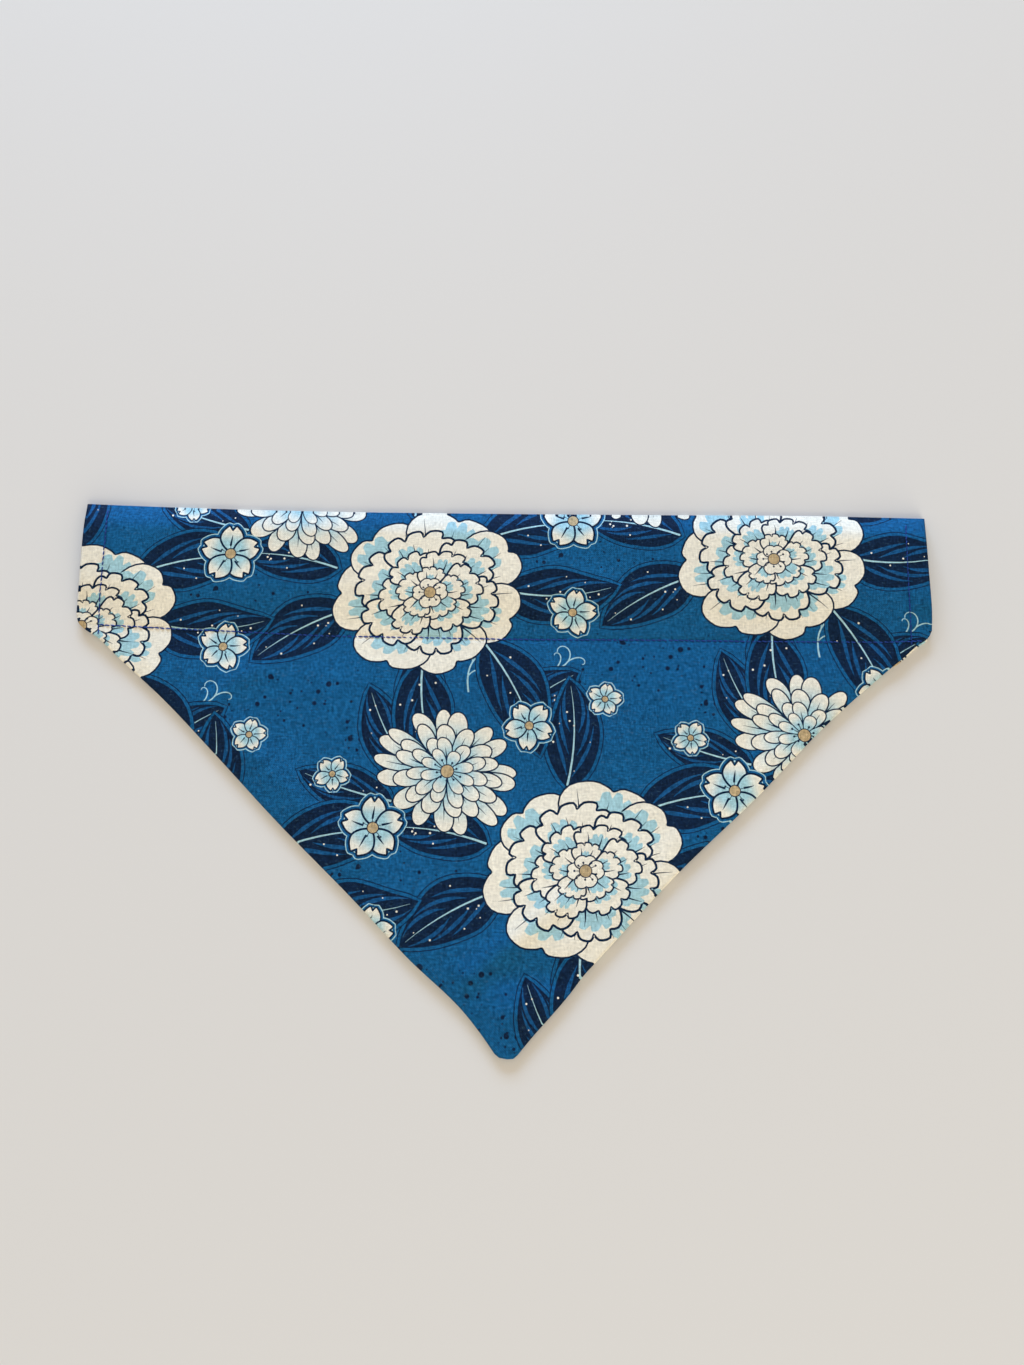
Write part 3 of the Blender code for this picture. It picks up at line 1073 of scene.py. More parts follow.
@dataclass
class PrintLayer:
    """Works out which parts of a print show inside an outline, and triangulates them.

    One key stands for all plain areas of a dye, and one for each area with a wash.
    """

    areas: list[Area]
    merge: float = 1e-4
    clear: float = 0.9
    unknown: int = -2

    def keys(self) -> Array:
        """Number what is printed.

        Returns:
            Keys of the bare ground and of each area.
        """
        order = {dye: number for number, dye in enumerate(Dye)}
        own = [len(order) + n if area.wash else order[area.dye] for n, area in enumerate(self.areas)]
        return np.array([order[Dye.GROUND], *own])

    def colours(self, keys: Array, at: Array) -> Array:
        """Give each corner its dye.

        Args:
            keys: Key of the area at each corner.
            at: Places of the corners in plan.

        Returns:
            One colour in linear light for each corner.
        """
        dyes = np.array([dye.linear for dye in Dye])
        plain = len(dyes)
        found = dyes[np.minimum(keys, plain - 1)]
        for number in np.unique(keys[keys >= plain]):
            area, here = self.areas[number - plain], keys == number
            run = area.wash.run
            share = blend((at[here] - area.wash.start) @ run / (run @ run), 0.0, 1.0)[:, None]
            found[here] = area.dye.linear * share + area.wash.dye.linear * (1 - share)
        return found

    def triangulate(self, points: Array, edges: list, faces: list) -> tuple:
        """Triangulate points with edges and faces that must be kept.

        Args:
            points: Places in plan.
            edges: Pairs of point numbers.
            faces: Rings of point numbers.

        Returns:
            Places, triangles, input edges under each edge, edges, and faces over each triangle.
        """
        made = delaunay_2d_cdt([Vector(p) for p in points], edges, faces, 0, self.merge)
        verts, lines, triangles, _, line_ids, face_ids = made
        return np.array([tuple(v) for v in verts]), triangles, line_ids, lines, face_ids

    def visible(self, ring: Array) -> tuple[Array, Array]:
        """Find the borders between the areas that show.

        Args:
            ring: The outline.

        Returns:
            Places, and rows of start, end, key on the left and key on the right.
        """
        rings = [ring, *(area.ring for area in self.areas)]
        ends = np.cumsum([len(r) for r in rings])
        faces = [list(range(end - len(r), end)) for r, end in zip(rings, ends)]
        places, triangles, _, _, over = self.triangulate(np.concatenate(rings), [], faces)
        inside = [n for n, ids in enumerate(over) if 0 in ids]
        keys = self.keys()[[max(over[n]) for n in inside]]
        start, end, beyond = neighbours(np.array([triangles[n] for n in inside]))
        left = np.repeat(keys, 3)
        right = np.where(beyond < 0, -1, keys[beyond])
        return places, np.stack([start, end, left, right], axis=1)[left > right]

    def open_places(self, corners: Array, inner: Array) -> Array:
        """Drop inner places that are close to corners.

        Args:
            corners: Places that stay.
            inner: Places to choose from.

        Returns:
            The inner places that are clear of the corners.
        """
        cells = set(map(tuple, np.floor(corners / self.clear).astype(int)))
        whole = np.floor(inner / self.clear).astype(int)
        beside = [(a, b) for a in (-1, 0, 1) for b in (-1, 0, 1)]
        near = [any((i + a, j + b) in cells for a, b in beside) for i, j in whole]
        return inner[~np.array(near)]

    def flooded(self, triangles: Array, size: int, known: dict[int, int]) -> Array:
        """Carry the keys beside the borders over to the triangles between them.

        Args:
            triangles: Point numbers, three a row.
            size: Count of the points.
            known: Keys to the left of border edges, by each edge's start times size plus its end.

        Returns:
            The key of each triangle, or a number below zero outside the outline.
        """
        start, end, beyond = neighbours(triangles)
        fixed = np.array([known.get(code, self.unknown) for code in (start * size + end).tolist()])
        rows = np.repeat(np.arange(len(triangles)), 3)
        keys = np.full(len(triangles), self.unknown)
        keys[rows[fixed > self.unknown]] = fixed[fixed > self.unknown]
        between = (fixed == self.unknown) & (beyond >= 0)
        a, b = rows[between], beyond[between]
        while True:
            grow = (keys[a] == self.unknown) & (keys[b] > self.unknown)
            if not grow.any():
                return keys
            keys[a[grow]] = keys[b[grow]]

    def spread(self, ring: Array, inner: Array) -> PrintedFace:
        """Triangulate what shows, with inner points that carry the relief.

        Args:
            ring: The outline.
            inner: Places inside it.

        Returns:
            The printed face.
        """
        places, borders = self.visible(ring)
        used, number = np.unique(borders[:, :2], return_inverse=True)
        number = number.reshape(-1, 2)
        corners = places[used]
        points = np.concatenate([corners, self.open_places(corners, inner)])
        edges = [tuple(pair) for pair in number.tolist()]
        places, triangles, line_ids, lines, _ = self.triangulate(points, edges, [])
        size, known = len(places), {}
        for (a, b), ids in zip(lines, line_ids):
            for row in ids[:1]:
                first, last = corners[number[row]]
                left, right = borders[row, 2:]
                ahead = np.dot(places[b] - places[a], last - first) > 0
                known[a * size + b] = left if ahead else right
                known[b * size + a] = right if ahead else left
        triangles = np.array([t for t in triangles])
        keys = self.flooded(triangles, size, known)
        return PrintedFace(places, triangles[keys >= 0], keys[keys >= 0])


@dataclass
class PanelMesh:
    """A panel's points with their directions, and its faces on both sides and round its edge."""

    points: Array
    directions: Array
    printed: Array
    edge: Array
    wrong: Array
    printed_keys: Array
    edge_keys: Array

    def faces(self) -> tuple[Array, Array, Array]:
        """The three kinds of face in the mesh's order."""
        return self.printed, self.edge, self.wrong

    def corners(self) -> Array:
        """The point number at each corner of the faces."""
        return np.concatenate([kind.ravel() for kind in self.faces()])

    def keys(self) -> Array:
        """The print's key at each corner of the faces, with bare ground on the wrong side."""
        printed, edge = np.repeat(self.printed_keys, 3), np.repeat(self.edge_keys, 4)
        return np.concatenate([printed, edge, np.zeros(self.wrong.size, int)])


def within(ring: Array, at: Array) -> Array:
    """Find the places that lie inside a ring.

    Args:
        ring: The ring, with its first point again at its end.
        at: The places.

    Returns:
        Whether each place is inside.
    """
    x, y = at.T
    inside = np.zeros(len(at), bool)
    for (ax, ay), (bx, by) in zip(ring, ring[1:]):
        spans = (ay > y) != (by > y)
        level = by - ay if by != ay else 1.0
        inside ^= spans & (x < (bx - ax) * (y - ay) / level + ax)
    return inside


def in_scene(name: str, data: bpy.types.ID) -> bpy.types.Object:
    """Put a mesh, light or camera into the scene.

    Args:
        name: Name of its object.
        data: The mesh, light or camera.

    Returns:
        The object.
    """
    item = bpy.data.objects.new(name, data)
    bpy.context.collection.objects.link(item)
    return item


@dataclass
class Panel:
    """One panel: a printed face, a wrong side and a rolled edge all round, as one closed mesh."""

    name: str
    lie: Lie
    outline: Array
    areas: list[Area]
    printed_up: bool
    shift: Array
    roll: float = 0.8
    roll_steps: int = 6
    rim_reach: float = 1.3
    relief_spacing: float = 3.1
    row_squeeze: float = 0.87
    inner_spacing: float = 5.0
    stitch_rows: tuple = (-2.4, -1.2, -0.5, 0.0, 0.5, 1.2, 2.4)
    edge_rows: tuple = (2.0, 3.4)
    edge_clear: float = 0.9
    slope_step: float = 0.15
    map_wide: float = 380.0
    map_middle: tuple = (0.5, 0.61)
    map_wrong: tuple = (0.22, 0.63)
    map_wrong_scale: float = 0.55
    map_strip: float = 0.985
    map_strip_step: float = 0.002
    map_edge_step: float = 0.0012

    def relief_places(self, spacing: float, stitches: bool) -> Array:
        """Set out places inside the outline that carry the relief.

        Args:
            spacing: Distance between the places.
            stitches: Whether rows of closer places follow the stitch lines.

        Returns:
            Places in plan.
        """
        low, high = self.outline.min(axis=0), self.outline.max(axis=0)
        found = []
        for number, y in enumerate(np.arange(low[1], high[1], spacing * self.row_squeeze)):
            x = np.arange(low[0], high[0], spacing) + spacing / 2 * (number % 2)
            found.append(np.stack([x, np.full_like(x, y)], axis=1))
        if stitches:
            for sewn in (CASING_LINE, *HEM_LINES):
                path = sewn.at(np.arange(0, sewn.travel[-1], self.lie.stitch_pitch / 2))
                across = np.array([0.0, 1.0] if sewn is CASING_LINE else [1.0, 0.0])
                found += [path + across * step for step in self.stitch_rows]
        found += [self.outline - outward(self.outline) * step for step in self.edge_rows]
        found = np.concatenate(found)
        closed = np.concatenate([self.outline, self.outline[:1]])
        clear = Path(closed).nearest(found).away > self.roll + self.edge_clear
        return found[within(closed, found) & clear]

    def heights(self, at: Array, printed: bool) -> Array:
        """Find the heights of one of the panel's faces.

        Args:
            at: Places in plan.
            printed: Whether the printed face is meant, not the wrong side.

        Returns:
            Heights over the surface.
        """
        if self.printed_up:
            return self.lie.front_top(at) if printed else self.lie.front_under(at)
        return self.lie.back_under(at) if printed else self.lie.back_inner(at)

    def normals(self, at: Array, printed: bool) -> Array:
        """Find the directions straight off a face, from its slopes.

        Args:
            at: Places in plan.
            printed: Whether the printed face is meant, not the wrong side.

        Returns:
            Unit directions.
        """
        slopes = []
        for step in (np.array([self.slope_step, 0]), np.array([0, self.slope_step])):
            rise = self.heights(at + step, printed) - self.heights(at - step, printed)
            slopes.append(-rise / (2 * self.slope_step))
        up = np.stack([*slopes, np.ones(len(at))], axis=1)
        up /= np.linalg.norm(up, axis=1, keepdims=True)
        return up if printed == self.printed_up else -up

    def rim(self, triangles: Array, keys: Array) -> tuple[Array, Array]:
        """Follow the rim of the printed face.

        Args:
            triangles: Point numbers, three a row.
            keys: The print's key of each triangle.

        Returns:
            Point numbers round the rim, and the key beside each.
        """
        start, end, beyond = neighbours(triangles)
        edge = beyond < 0
        after = dict(zip(start[edge].tolist(), end[edge].tolist()))
        beside = dict(zip(start[edge].tolist(), np.repeat(keys, 3)[edge].tolist()))
        loop = [next(iter(after))]
        while after[loop[-1]] != loop[0]:
            loop.append(after[loop[-1]])
        return np.array(loop), np.array([beside[i] for i in loop])

    def wrong_side(self, rim: Array) -> tuple[Array, Array]:
        """Triangulate the wrong side inside the rim.

        Args:
            rim: Places round the rim.

        Returns:
            Places of the wrong side, with the rim first, and its triangles.
        """
        flat = np.concatenate([rim, self.relief_places(self.inner_spacing, False)])
        faces = [list(range(len(rim)))]
        verts, _, triangles, *_ = delaunay_2d_cdt([Vector(p) for p in flat], [], faces, 1, 1e-7)
        if len(verts) != len(flat):
            raise ValueError(f"{self.name} has places that fall together")
        return flat, np.array([t for t in triangles])

    def rim_direction(self, rim: Array) -> Array:
        """Find the outward direction at uneven places along the rim, smoothed over a short reach.

        Args:
            rim: Places round the rim.

        Returns:
            Unit directions.
        """
        closed = Path(np.concatenate([rim, rim[:1]]))
        travel, round_trip = closed.travel[:-1], closed.travel[-1]
        ahead = closed.at((travel + self.rim_reach) % round_trip)
        return right_of(ahead - closed.at((travel - self.rim_reach) % round_trip))

    def rolled_edge(self, rim: Array, near: Array, far: Array) -> tuple[Array, Array]:
        """Roll the edge over from the printed face to the wrong side.

        Args:
            rim: Places round the rim.
            near: Heights of the printed face there.
            far: Heights of the wrong side there.

        Returns:
            Points of the rolled edge, row by row, and their directions.
        """
        across = self.rim_direction(rim)
        points, ways = [], []
        for angle in np.arange(1, self.roll_steps) * math.pi / self.roll_steps:
            z = (near + far) / 2 + (near - far) / 2 * math.cos(angle)
            points.append(np.column_stack([rim + across * self.roll * math.sin(angle), z]))
            up = np.sign(near - far) * math.cos(angle)
            ways.append(np.column_stack([across * math.sin(angle), up]))
        ways = np.concatenate(ways)
        return np.concatenate(points), ways / np.linalg.norm(ways, axis=1, keepdims=True)

    def build(self) -> bpy.types.Object:
        """Build the panel's mesh.

        Returns:
            The panel's object, in the frame of the part.
        """
        ring = self.outline - self.roll * outward(self.outline)
        face = PrintLayer(self.areas).spread(ring, self.relief_places(self.relief_spacing, True))
        used, printed = np.unique(face.triangles, return_inverse=True)
        printed = printed.reshape(-1, 3)
        at = face.places[used]
        loop, rim_keys = self.rim(printed, face.keys)
        flat, wrong = self.wrong_side(at[loop])
        count, wrong_start, edge_start = len(loop), len(at), len(at) + len(flat)
        near, far = self.heights(at, True), self.heights(flat, False)
        rolled, ways = self.rolled_edge(at[loop], near[loop], far[:count])
        points = np.concatenate([np.column_stack([at, near]), np.column_stack([flat, far]), rolled])
        ways = np.concatenate([self.normals(at, True), self.normals(flat, False), ways])
        rows = [edge_start + count * k + np.arange(count) for k in range(self.roll_steps - 1)]
        rows = [loop, *rows, wrong_start + np.arange(count)]
        pairs = zip(rows, rows[1:])
        edge = [np.column_stack([a, b, np.roll(b, -1), np.roll(a, -1)]) for a, b in pairs]
        edge, wrong = np.concatenate(edge), wrong + wrong_start
        if self.printed_up:
            wrong = wrong[:, ::-1]
        else:
            printed, edge = printed[:, ::-1], edge[:, ::-1]
        edge_keys = np.tile(rim_keys, self.roll_steps)
        return self.write(PanelMesh(points, ways, printed, edge, wrong, face.keys, edge_keys))

    def flat_map(self, made: PanelMesh) -> Array:
        """Lay the faces out on a flat map, each at a place of its own.

        Args:
            made: The panel's mesh.

        Returns:
            The place on the map of each corner of the faces.
        """
        plan = made.points[:, :2] / self.map_wide + self.map_middle
        wrong = plan[made.wrong.ravel()] * self.map_wrong_scale + self.map_wrong
        count = len(made.edge_keys) // self.roll_steps
        left = np.tile(np.linspace(0.01, 0.98, count), self.roll_steps)
        right = left + self.map_edge_step
        row = np.repeat(np.arange(self.roll_steps), count)
        v = self.map_strip + self.map_strip_step * np.stack([row, row + 1, row + 1, row], axis=1)
        edge = np.stack([np.stack([left, left, right, right], axis=1), v], axis=2)
        edge = edge if self.printed_up else edge[:, ::-1]
        return np.concatenate([plan[made.printed.ravel()], edge.reshape(-1, 2), wrong])

    def write(self, made: PanelMesh) -> bpy.types.Object:
        """Write the mesh with its normals, dyes, finishes and flat map.

        Args:
            made: The panel's mesh.

        Returns:
            The panel's object.
        """
        mesh = bpy.data.meshes.new(self.name)
        faces = sum((kind.tolist() for kind in made.faces()), [])
        mesh.from_pydata(standing(made.points, self.shift).tolist(), [], faces)
        slots = np.repeat([0, 0, 1], [len(kind) for kind in made.faces()])
        mesh.polygons.foreach_set("material_index", slots)
        dye = PrintLayer(self.areas).colours(made.keys(), made.points[made.corners(), :2])
        layer = mesh.color_attributes.new("print_dye", "FLOAT_COLOR", "CORNER")
        layer.data.foreach_set("color", np.column_stack([dye, np.ones(len(dye))]).ravel())
        mesh.uv_layers.new(name="OFBake").data.foreach_set("uv", self.flat_map(made).ravel())
        mesh.shade_smooth()
        mesh.normals_split_custom_set_from_vertices(made.directions.tolist())
        mesh.update()
        return in_scene(self.name, mesh)


class Row(NamedTuple):
    """A row of stitches: its line, the cloth's height under it, and 1 on top or -1 underneath."""

    line: Path
    height: Callable[[Array], Array]
    up: float


@dataclass
class Stitching:
    """Rows of sewn stitches: short threads that dip into the cloth at both ends."""

    name: str
    lie: Lie
    shift: Array
    thread: float = 0.58
    cover: float = 1.0
    lean: float = 0.16
    uneven: float = 0.05
    dip: float = 0.1
    crown: float = 0.2
    first: float = 0.4
    sides: int = 6
    rings: int = 7
    seed: int = 21

    def stitch(self, start: Array, end: Array, row: Row) -> tuple[Array, list]:
        """Shape one stitch.

        Args:
            start: Where it comes out of the cloth, in plan.
            end: Where it goes back in.
            row: The row that it belongs to.

        Returns:
            Its points and faces.
        """
        u = np.linspace(0, 1, self.rings)
        path = start + (end - start) * u[:, None]
        arch = np.sin(math.pi * u)
        z = row.height(path) + row.up * ((self.crown + self.dip) * arch**0.7 - self.dip)
        across = np.array([-(end - start)[1], (end - start)[0]]) / np.linalg.norm(end - start)
        radius = self.thread / 2 * (0.5 + 0.5 * arch**0.5)
        angles = np.arange(self.sides) * 2 * math.pi / self.sides
        points = []
        for at, top, r in zip(path, z, radius):
            side = r * np.cos(angles)[:, None] * across
            points.append(np.column_stack([at + side, top + r * np.sin(angles)]))
        number = np.arange(self.rings * self.sides).reshape(self.rings, self.sides)
        faces = []
        for a, b in zip(number, number[1:]):
            faces += np.column_stack([a, b, np.roll(b, -1), np.roll(a, -1)]).tolist()
        return np.concatenate(points), [*faces, number[0].tolist(), number[-1][::-1].tolist()]

    def sideways(self, place: Array) -> Array:
        """The step by which a stitch's start leans off its row."""
        run = place[1] - place[0]
        return self.lean * np.array([-run[1], run[0]]) / np.linalg.norm(run)

    def build(self, rows: Sequence[Row]) -> bpy.types.Object:
        """Sew rows of stitches into one mesh.

        Args:
            rows: The rows.

        Returns:
            The object with all its stitches.
        """
        dice = np.random.default_rng(self.seed)
        pitch = self.lie.stitch_pitch
        points, faces, count = [], [], 0
        for row in rows:
            for s in np.arange(self.first, row.line.travel[-1] - pitch, pitch):
                place = row.line.at(np.array([s, s + pitch * self.cover]))
                lean = self.sideways(place) * [[1.0], [-1.0]]
                place += dice.normal(0, self.uneven, (2, 2)) + lean
                made, own = self.stitch(place[0], place[1], row)
                points.append(made)
                faces += [[i + count for i in face] for face in own]
                count += len(made)
        mesh = bpy.data.meshes.new(self.name)
        mesh.from_pydata(standing(np.concatenate(points), self.shift).tolist(), [], faces)
        shell = bmesh.new()
        shell.from_mesh(mesh)
        bmesh.ops.recalc_face_normals(shell, faces=shell.faces)
        shell.to_mesh(mesh)
        shell.free()
        mesh.shade_smooth()
        return in_scene(self.name, mesh)


class Span(NamedTuple):
    """A range of numbers, and the range that it is carried over to."""

    low: float
    high: float
    out_low: float
    out_high: float


class Nodes:
    """Adds shader nodes and joins them."""

    def __init__(self, name: str) -> None:
        """Start a material that holds only its shader.

        Args:
            name: The material's name.
        """
        self.material = bpy.data.materials.new(name)
        self.material.use_nodes = True
        self.tree = self.material.node_tree
        self.shader = self.tree.nodes["Principled BSDF"]

    def add(self, kind: str, **inputs: object) -> bpy.types.Node:
        """Add a node.

        Args:
            kind: Blender's name of the node type, without its first words.
            **inputs: Values or sockets for its inputs, by name with _ for a space.

        Returns:
            The node.
        """
        node = self.tree.nodes.new("ShaderNode" + kind)
        for name, value in inputs.items():
            self.feed(node.inputs[name.replace("_", " ")], value)
        return node

    def feed(self, socket: bpy.types.NodeSocket, value: object) -> None:
        """Set an input, or join another node's output to it.

        Args:
            socket: The input.
            value: Its value, or the output to join.
        """
        if isinstance(value, bpy.types.NodeSocket):
            self.tree.links.new(value, socket)
        else:
            socket.default_value = value

    def place(self) -> bpy.types.NodeSocket:
        """Places in the object's own space."""
        return self.add("TexCoord").outputs["Object"]

    def mixed(self, share: object, one: object, two: object) -> bpy.types.NodeSocket:
        """Blend two colours.

        Args:
            share: Share of the second.
            one: The first colour.
            two: The second colour.

        Returns:
            The blended colour.
        """
        node = self.add("Mix")
        node.data_type = "RGBA"
        for number, value in ((0, share), (6, one), (7, two)):
            self.feed(node.inputs[number], value)
        return node.outputs[2]

    def sum(self, operation: str, one: object, two: object = 0.0) -> bpy.types.NodeSocket:
        """Do a sum with one number or two.

        Args:
            operation: Blender's name of the sum.
            one: The first number.
            two: The second number.

        Returns:
            The result.
        """
        node = self.add("Math")
        node.operation = operation
        self.feed(node.inputs[0], one)
        self.feed(node.inputs[1], two)
        return node.outputs[0]

    def noise(self, scale: tuple, detail: float, roughness: float = 0.5) -> bpy.types.NodeSocket:
        """Noise in the object's own space, stretched by its scale a metre along each axis."""
        place = self.add("Mapping", Vector=self.place(), Scale=scale).outputs[0]
        return self.add("TexNoise", Vector=place, Scale=1.0, Detail=detail, Roughness=roughness).outputs[0]

    def ranged(self, value: object, span: Span) -> bpy.types.NodeSocket:
        """Carry a range of numbers over to another."""
        names = ("From_Min", "From_Max", "To_Min", "To_Max")
        return self.add("MapRange", Value=value, **dict(zip(names, span))).outputs[0]


@dataclass(frozen=True)
class PrintedCotton:
    """Plain-weave cotton with its print, or its paler wrong side."""

    name: str
    wrong_side: bool = False
    roughness: float = 0.84
    specular: float = 0.05
    thread_pitch: float = 0.00047
    weave_painted_shade: float = 0.2
    weave_height: float = 0.00005
    weave_strength: float = 0.7
    crumple: tuple = (150, 150, 150)
    crumple_height: float = 0.00025
    crumple_strength: float = 0.6
    warp: tuple = (1900, 380, 400)
    weft: tuple = (380, 1900, 400)
    yarn_shade: Span = Span(0.7, 1.3, 0.64, 1.36)
    heather: tuple = (1150, 1150, 1150)
    heather_shade: Span = Span(0.3, 0.7, 0.78, 1.22)
    clouds: tuple = (14, 14, 14)
    cloud_shade: Span = Span(0.3, 0.7, 0.95, 1.06)
    grain_by_green: Span = Span(0.01, 0.7, 1.3, 0.42)
    slub_glints: tuple = (700, 1100, 420)
    slub_glint_share: Span = Span(0.58, 0.76, 0.0, 0.2)
    slub_glint_colour: tuple = (0.20, 0.44, 0.62, 1)
    faded: tuple = (22, 22, 22)
    faded_share: Span = Span(0.4, 0.6, 0.2, 0.8)
    wrong_dark: tuple = (0.10, 0.24, 0.38, 1)
    wrong_pale: tuple = (0.42, 0.5, 0.52, 1)

    def dyed(self, nodes: Nodes) -> bpy.types.NodeSocket:
        """Colour the cloth before its grain.

        Args:
            nodes: The material's nodes.

        Returns:
            The print's dyes, or the wrong side's uneven blue.
        """
        if self.wrong_side:
            share = nodes.ranged(nodes.noise(self.faded, 3), self.faded_share)
            return nodes.mixed(share, self.wrong_dark, self.wrong_pale)
        dyes = nodes.add("VertexColor")
        dyes.layer_name = "print_dye"
        return dyes.outputs[0]

    def weave(self, nodes: Nodes) -> bpy.types.NodeSocket:
        """Cross two sets of threads.

        Args:
            nodes: The material's nodes.

        Returns:
            Height of the weave, from -1 to 1.
        """
        split = nodes.add("SeparateXYZ", Vector=nodes.place())
        turns = [nodes.sum("MULTIPLY", split.outputs[k], math.pi / self.thread_pitch) for k in (0, 1)]
        over, across = (nodes.sum("SINE", turn) for turn in turns)
        return nodes.sum("MULTIPLY", over, across)

    def grained(self, nodes: Nodes, colour: object, weave: object, yarn: object) -> bpy.types.NodeSocket:
        """Give a colour the cloth's grain, which is stronger on dark dyes, with painted shade in the
        weave's hollows and painted light-blue glints on some yarns.

        Args:
            nodes: The material's nodes.
            colour: The dyed colour.
            weave: Height of the weave.
            yarn: Unevenness of the yarns.

        Returns:
            The cloth's colour.
        """
        # Painted shade: the colour darkens in the weave's hollows and lightens on its crowns, following
        # the weave's height.
        threads = nodes.sum("MULTIPLY", weave, self.weave_painted_shade)
        shade = nodes.sum("ADD", nodes.ranged(yarn, self.yarn_shade), threads)
        heather = nodes.ranged(nodes.noise(self.heather, 2, 0.7), self.heather_shade)
        cloudy = nodes.ranged(nodes.noise(self.clouds, 4), self.cloud_shade)
        green = nodes.add("SeparateColor", Color=colour).outputs[1]
        grain = nodes.sum("SUBTRACT", nodes.sum("MULTIPLY", shade, heather), 1.0)
        grain = nodes.sum("MULTIPLY", grain, nodes.ranged(green, self.grain_by_green))
        scaled = nodes.add("VectorMath")
        scaled.operation = "SCALE"
        nodes.feed(scaled.inputs[0], colour)
        factor = nodes.sum("MULTIPLY", nodes.sum("ADD", grain, 1.0), cloudy)
        nodes.feed(scaled.inputs["Scale"], factor)
        # Light-blue specks at random places: partly the yarn's slubs, partly painted glints of light on
        # the threads.
        slub_glint = nodes.ranged(nodes.noise(self.slub_glints, 4, 0.7), self.slub_glint_share)
        return nodes.mixed(slub_glint, scaled.outputs[0], self.slub_glint_colour)

    def material(self) -> bpy.types.Material:
        """Make the node material.

        Returns:
            The material.
        """
        nodes = Nodes(self.name)
        weave = self.weave(nodes)
        yarn = nodes.sum("ADD", nodes.noise(self.warp, 2), nodes.noise(self.weft, 2))
        colour = self.grained(nodes, self.dyed(nodes), weave, yarn)
        nodes.feed(nodes.shader.inputs["Base Color"], colour)
        fine = nodes.sum("ADD", nodes.sum("MULTIPLY", weave, 0.5), nodes.sum("MULTIPLY", yarn, 1.2))
        soft = nodes.add(
            "Bump",
            Height=nodes.noise(self.crumple, 4, 0.55),
            Distance=self.crumple_height,
            Strength=self.crumple_strength,
        )
        bump = nodes.add(
            "Bump",
            Height=fine,
            Distance=self.weave_height,
            Strength=self.weave_strength,
            Normal=soft.outputs[0],
        )
        nodes.feed(nodes.shader.inputs["Normal"], bump.outputs[0])
        nodes.shader.inputs["Roughness"].default_value = self.roughness
        nodes.shader.inputs["Specular IOR Level"].default_value = self.specular
        return nodes.material


@dataclass(frozen=True)
class SewingThread:
    """Two-ply sewing thread in blue, with painted light-blue glints along its twist."""

    name: str
    # dark is the thread's own blue; light is a painted glint, laid on where the twist noise is high.
    dark: tuple = (0.006, 0.022, 0.15, 1.0)
    light: tuple = (0.014, 0.11, 0.55, 1)
    roughness: float = 0.55
    specular: float = 0.2
    twist: tuple = (3200, 3200, 900)
    twist_glint_share: Span = Span(0.48, 0.72, 0.0, 1.0)
    twist_height: float = 0.00006
    twist_strength: float = 0.8

    def material(self) -> bpy.types.Material:
        """Make the node material.

        Returns:
            The material.
        """
        nodes = Nodes(self.name)
        twist = nodes.noise(self.twist, 2)
        # Painted glints: the thread's blue turns light blue where the twist noise is high.
        colour = nodes.mixed(nodes.ranged(twist, self.twist_glint_share), self.dark, self.light)
        nodes.feed(nodes.shader.inputs["Base Color"], colour)
        bump = nodes.add("Bump", Height=twist, Distance=self.twist_height, Strength=self.twist_strength)
        nodes.feed(nodes.shader.inputs["Normal"], bump.outputs[0])
        nodes.shader.inputs["Roughness"].default_value = self.roughness
        nodes.shader.inputs["Specular IOR Level"].default_value = self.specular
        return nodes.material


@dataclass(frozen=True)
class SoftLight:
    """A soft rectangular light, in metres."""

    name: str
    at: tuple
    aim: tuple
    sides: tuple
    watts: float
    colour: tuple

    def hang(self) -> None:
        """Hang the light in the scene, turned to its aim."""
        lamp = bpy.data.lights.new(self.name, "AREA")
        lamp.shape = "RECTANGLE"
        lamp.size, lamp.size_y = self.sides
        lamp.energy = self.watts
        lamp.color = self.colour
        item = in_scene(self.name, lamp)
        item.location = self.at
        item.rotation_euler = (Vector(self.at) - Vector(self.aim)).to_track_quat("Z", "Y").to_euler()


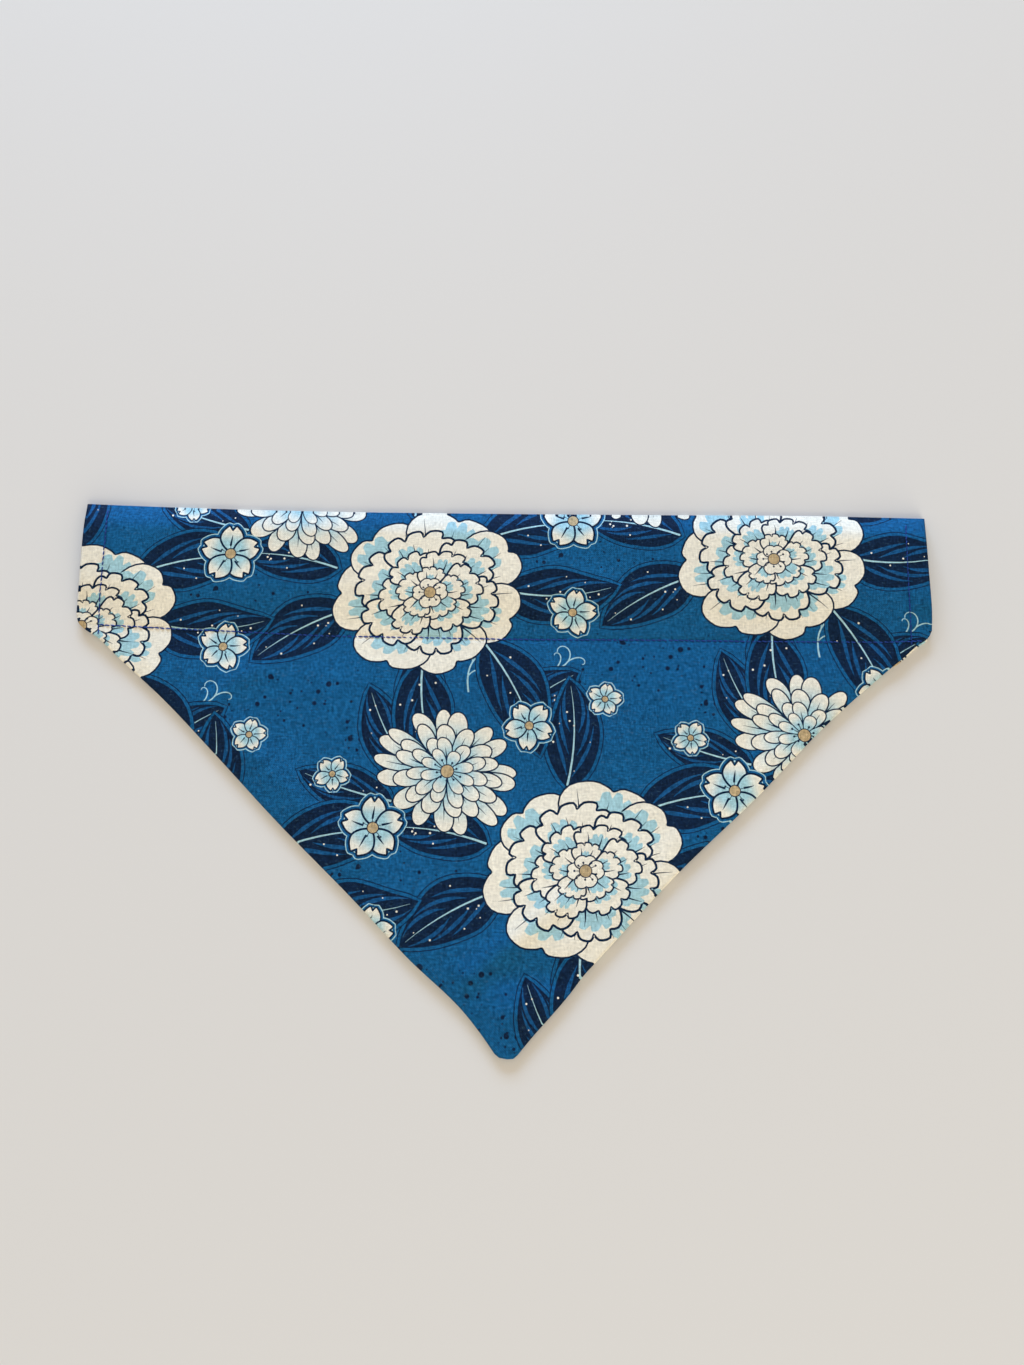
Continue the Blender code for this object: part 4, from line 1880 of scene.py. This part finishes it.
@dataclass
class Studio:
    """The floor, the lights and the camera."""

    camera_at: tuple = EYE
    camera_tilt: float = 12.5
    camera_turn: float = 1.07
    lens: float = 27.03
    sensor: float = 36.0
    clip_start: float = 0.01
    floor_side: float = 4.0
    floor_level: float = -0.00005
    floor_colour: tuple = (0.72, 0.70, 0.67, 1)
    floor_roughness: float = 0.7
    room_colour: tuple = (1.157, 1.019, 0.870, 1)
    room_strength: float = 0.5
    lights: tuple[SoftLight, ...] = (
        SoftLight(
            "window_light", (-0.6, 3.8, 1.24), (0, 0.02, 0), (2.8, 1.0), 200.0, (0.476, 0.687, 1.005)
        ),
        SoftLight("room_light", (1.0, -3.4, 1.9), (0, 0, 0), (2.4, 2.4), 96.6, (0.86, 0.82, 0.66)),
    )

    def floor(self) -> None:
        """Lay a plain pale floor."""
        half, level = self.floor_side / 2, self.floor_level
        signs = ((-1, -1), (1, -1), (1, 1), (-1, 1))
        mesh = bpy.data.meshes.new("floor")
        mesh.from_pydata([(a * half, b * half, level) for a, b in signs], [], [(0, 1, 2, 3)])
        nodes = Nodes("floor_paint")
        nodes.shader.inputs["Base Color"].default_value = self.floor_colour
        nodes.shader.inputs["Roughness"].default_value = self.floor_roughness
        mesh.materials.append(nodes.material)
        in_scene("floor", mesh)

    def room(self) -> None:
        """Fill the room with even light."""
        world = bpy.data.worlds.new("room")
        world.use_nodes = True
        background = world.node_tree.nodes["Background"]
        background.inputs["Color"].default_value = self.room_colour
        background.inputs["Strength"].default_value = self.room_strength
        bpy.context.scene.world = world

    def camera(self) -> None:
        """Set up the camera at the photograph's angle."""
        camera = in_scene("camera", bpy.data.cameras.new("camera"))
        camera.data.lens = self.lens
        camera.data.sensor_width = self.sensor
        camera.data.clip_start = self.clip_start
        camera.location = self.camera_at
        camera.rotation_euler = (math.radians(self.camera_tilt), 0, math.radians(self.camera_turn))
        bpy.context.scene.camera = camera

    def build(self) -> None:
        """Set up the floor, the lights, the room's even light and the camera."""
        self.floor()
        for light in self.lights:
            light.hang()
        self.room()
        self.camera()
        bpy.context.scene.view_settings.view_transform = "Standard"


@dataclass
class Bandana:
    """The whole bandana: two panels of printed cotton and their stitches."""

    lie: Lie
    flat: tuple = (0.3712, 0.2298)
    flat_area: float = 0.0525
    front_print: tuple = (-118.0, -20.0)
    back_print: tuple = (168.0, -66.0)
    back_inset: float = -0.5
    back_peek: float = 1.1
    peek_from: tuple = (165.0, 169.0)
    peek_to: tuple = (182.5, 184.0)
    peek_below: float = -45.0
    back_spacing: float = 3.6
    back_dip: float = 0.06
    back_crown: float = 0.03

    def shift(self) -> Array:
        """The way from the measured frame to the part's, in millimetres."""
        low, high = (np.array(corner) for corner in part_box("front_panel"))
        return (low + high)[:2] / 2 / MM - (OUTLINE.min(axis=0) + OUTLINE.max(axis=0)) / 2

    def back_outline(self) -> Array:
        """Draw the back in under the front, but let it peek out by the right corner.

        Returns:
            The back's outline.
        """
        x, y = OUTLINE.T
        peek = blend(x, *self.peek_from) * (1 - blend(x, *self.peek_to)) * (y < self.peek_below)
        return OUTLINE + outward(OUTLINE) * (self.back_inset + self.back_peek * peek)[:, None]

    def front_panel(self) -> bpy.types.Object:
        """Build the front."""
        areas = FloralPrint(self.front_print, mirrored=True).areas()
        return Panel("front_cloth", self.lie, OUTLINE, areas, True, self.shift()).build()

    def back_panel(self) -> bpy.types.Object:
        """Build the back.

        Returns:
            The back's object.
        """
        areas = FloralPrint(self.back_print).areas()
        outline, spacing = self.back_outline(), self.back_spacing
        panel = Panel(
            "back_cloth", self.lie, outline, areas, False, self.shift(), relief_spacing=spacing
        )
        return panel.build()

    @staticmethod
    def sewn(seams: Stitching, outer: Callable, inner: Callable, up: float) -> bpy.types.Object:
        """Sew a panel's three rows, and the inner sides of its two hems.

        Args:
            seams: Shapes the stitches.
            outer: Gives the heights of the panel's printed face.
            inner: Gives the heights of its inner face.
            up: 1 if the printed face is on top, -1 if it is underneath.

        Returns:
            The object with the stitches.
        """
        rows = [Row(path, outer, up) for path in (CASING_LINE, *HEM_LINES)]
        return seams.build(rows + [Row(path, inner, -up) for path in HEM_LINES])

    @staticmethod
    def dress(piece: bpy.types.Object, finishes: Sequence[bpy.types.Material], slot: str) -> None:
        """Give a piece its finishes and its body.

        Args:
            piece: The piece.
            finishes: Its materials, by the number that its faces have.
            slot: Name of a material slot. Not used.
        """
        for finish in finishes:
            piece.data.materials.append(finish)
        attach(piece, "root")

    def build(self) -> list[bpy.types.Object]:
        """Build and dress all pieces.

        Returns:
            The pieces.
        """
        front, back = self.front_panel(), self.back_panel()
        printed = PrintedCotton("printed_cotton").material()
        wrong = PrintedCotton("cotton_wrong_side", wrong_side=True).material()
        thread = SewingThread("blue_thread").material()
        for panel, node, slot in (
            (front, "front_panel", "front_cotton"),
            (back, "back_panel", "back_cotton"),
        ):
            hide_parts(node)
            self.dress(panel, (printed, wrong), slot)
        lie, shift = self.lie, self.shift()
        seams = Stitching("front_stitches", lie, shift)
        top = self.sewn(seams, lie.front_top, lie.front_under, 1.0)
        seams = Stitching("back_stitches", lie, shift, dip=self.back_dip, crown=self.back_crown)
        low = self.sewn(seams, lie.back_under, lie.back_inner, -1.0)
        self.dress(top, (thread,), "front_cotton")
        self.dress(low, (thread,), "back_cotton")
        return [front, back, top, low]


def main() -> None:
    """Build every piece in order and report it."""
    logging.basicConfig(level=logging.INFO, format="%(message)s")
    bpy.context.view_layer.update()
    pieces = Bandana(Lie()).build()
    Studio().build()
    for piece in pieces:
        LOG.info("%s: %d points, %d faces", piece.name, len(piece.data.vertices), len(piece.data.polygons))
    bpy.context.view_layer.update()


if __name__ == "__main__":
    main()
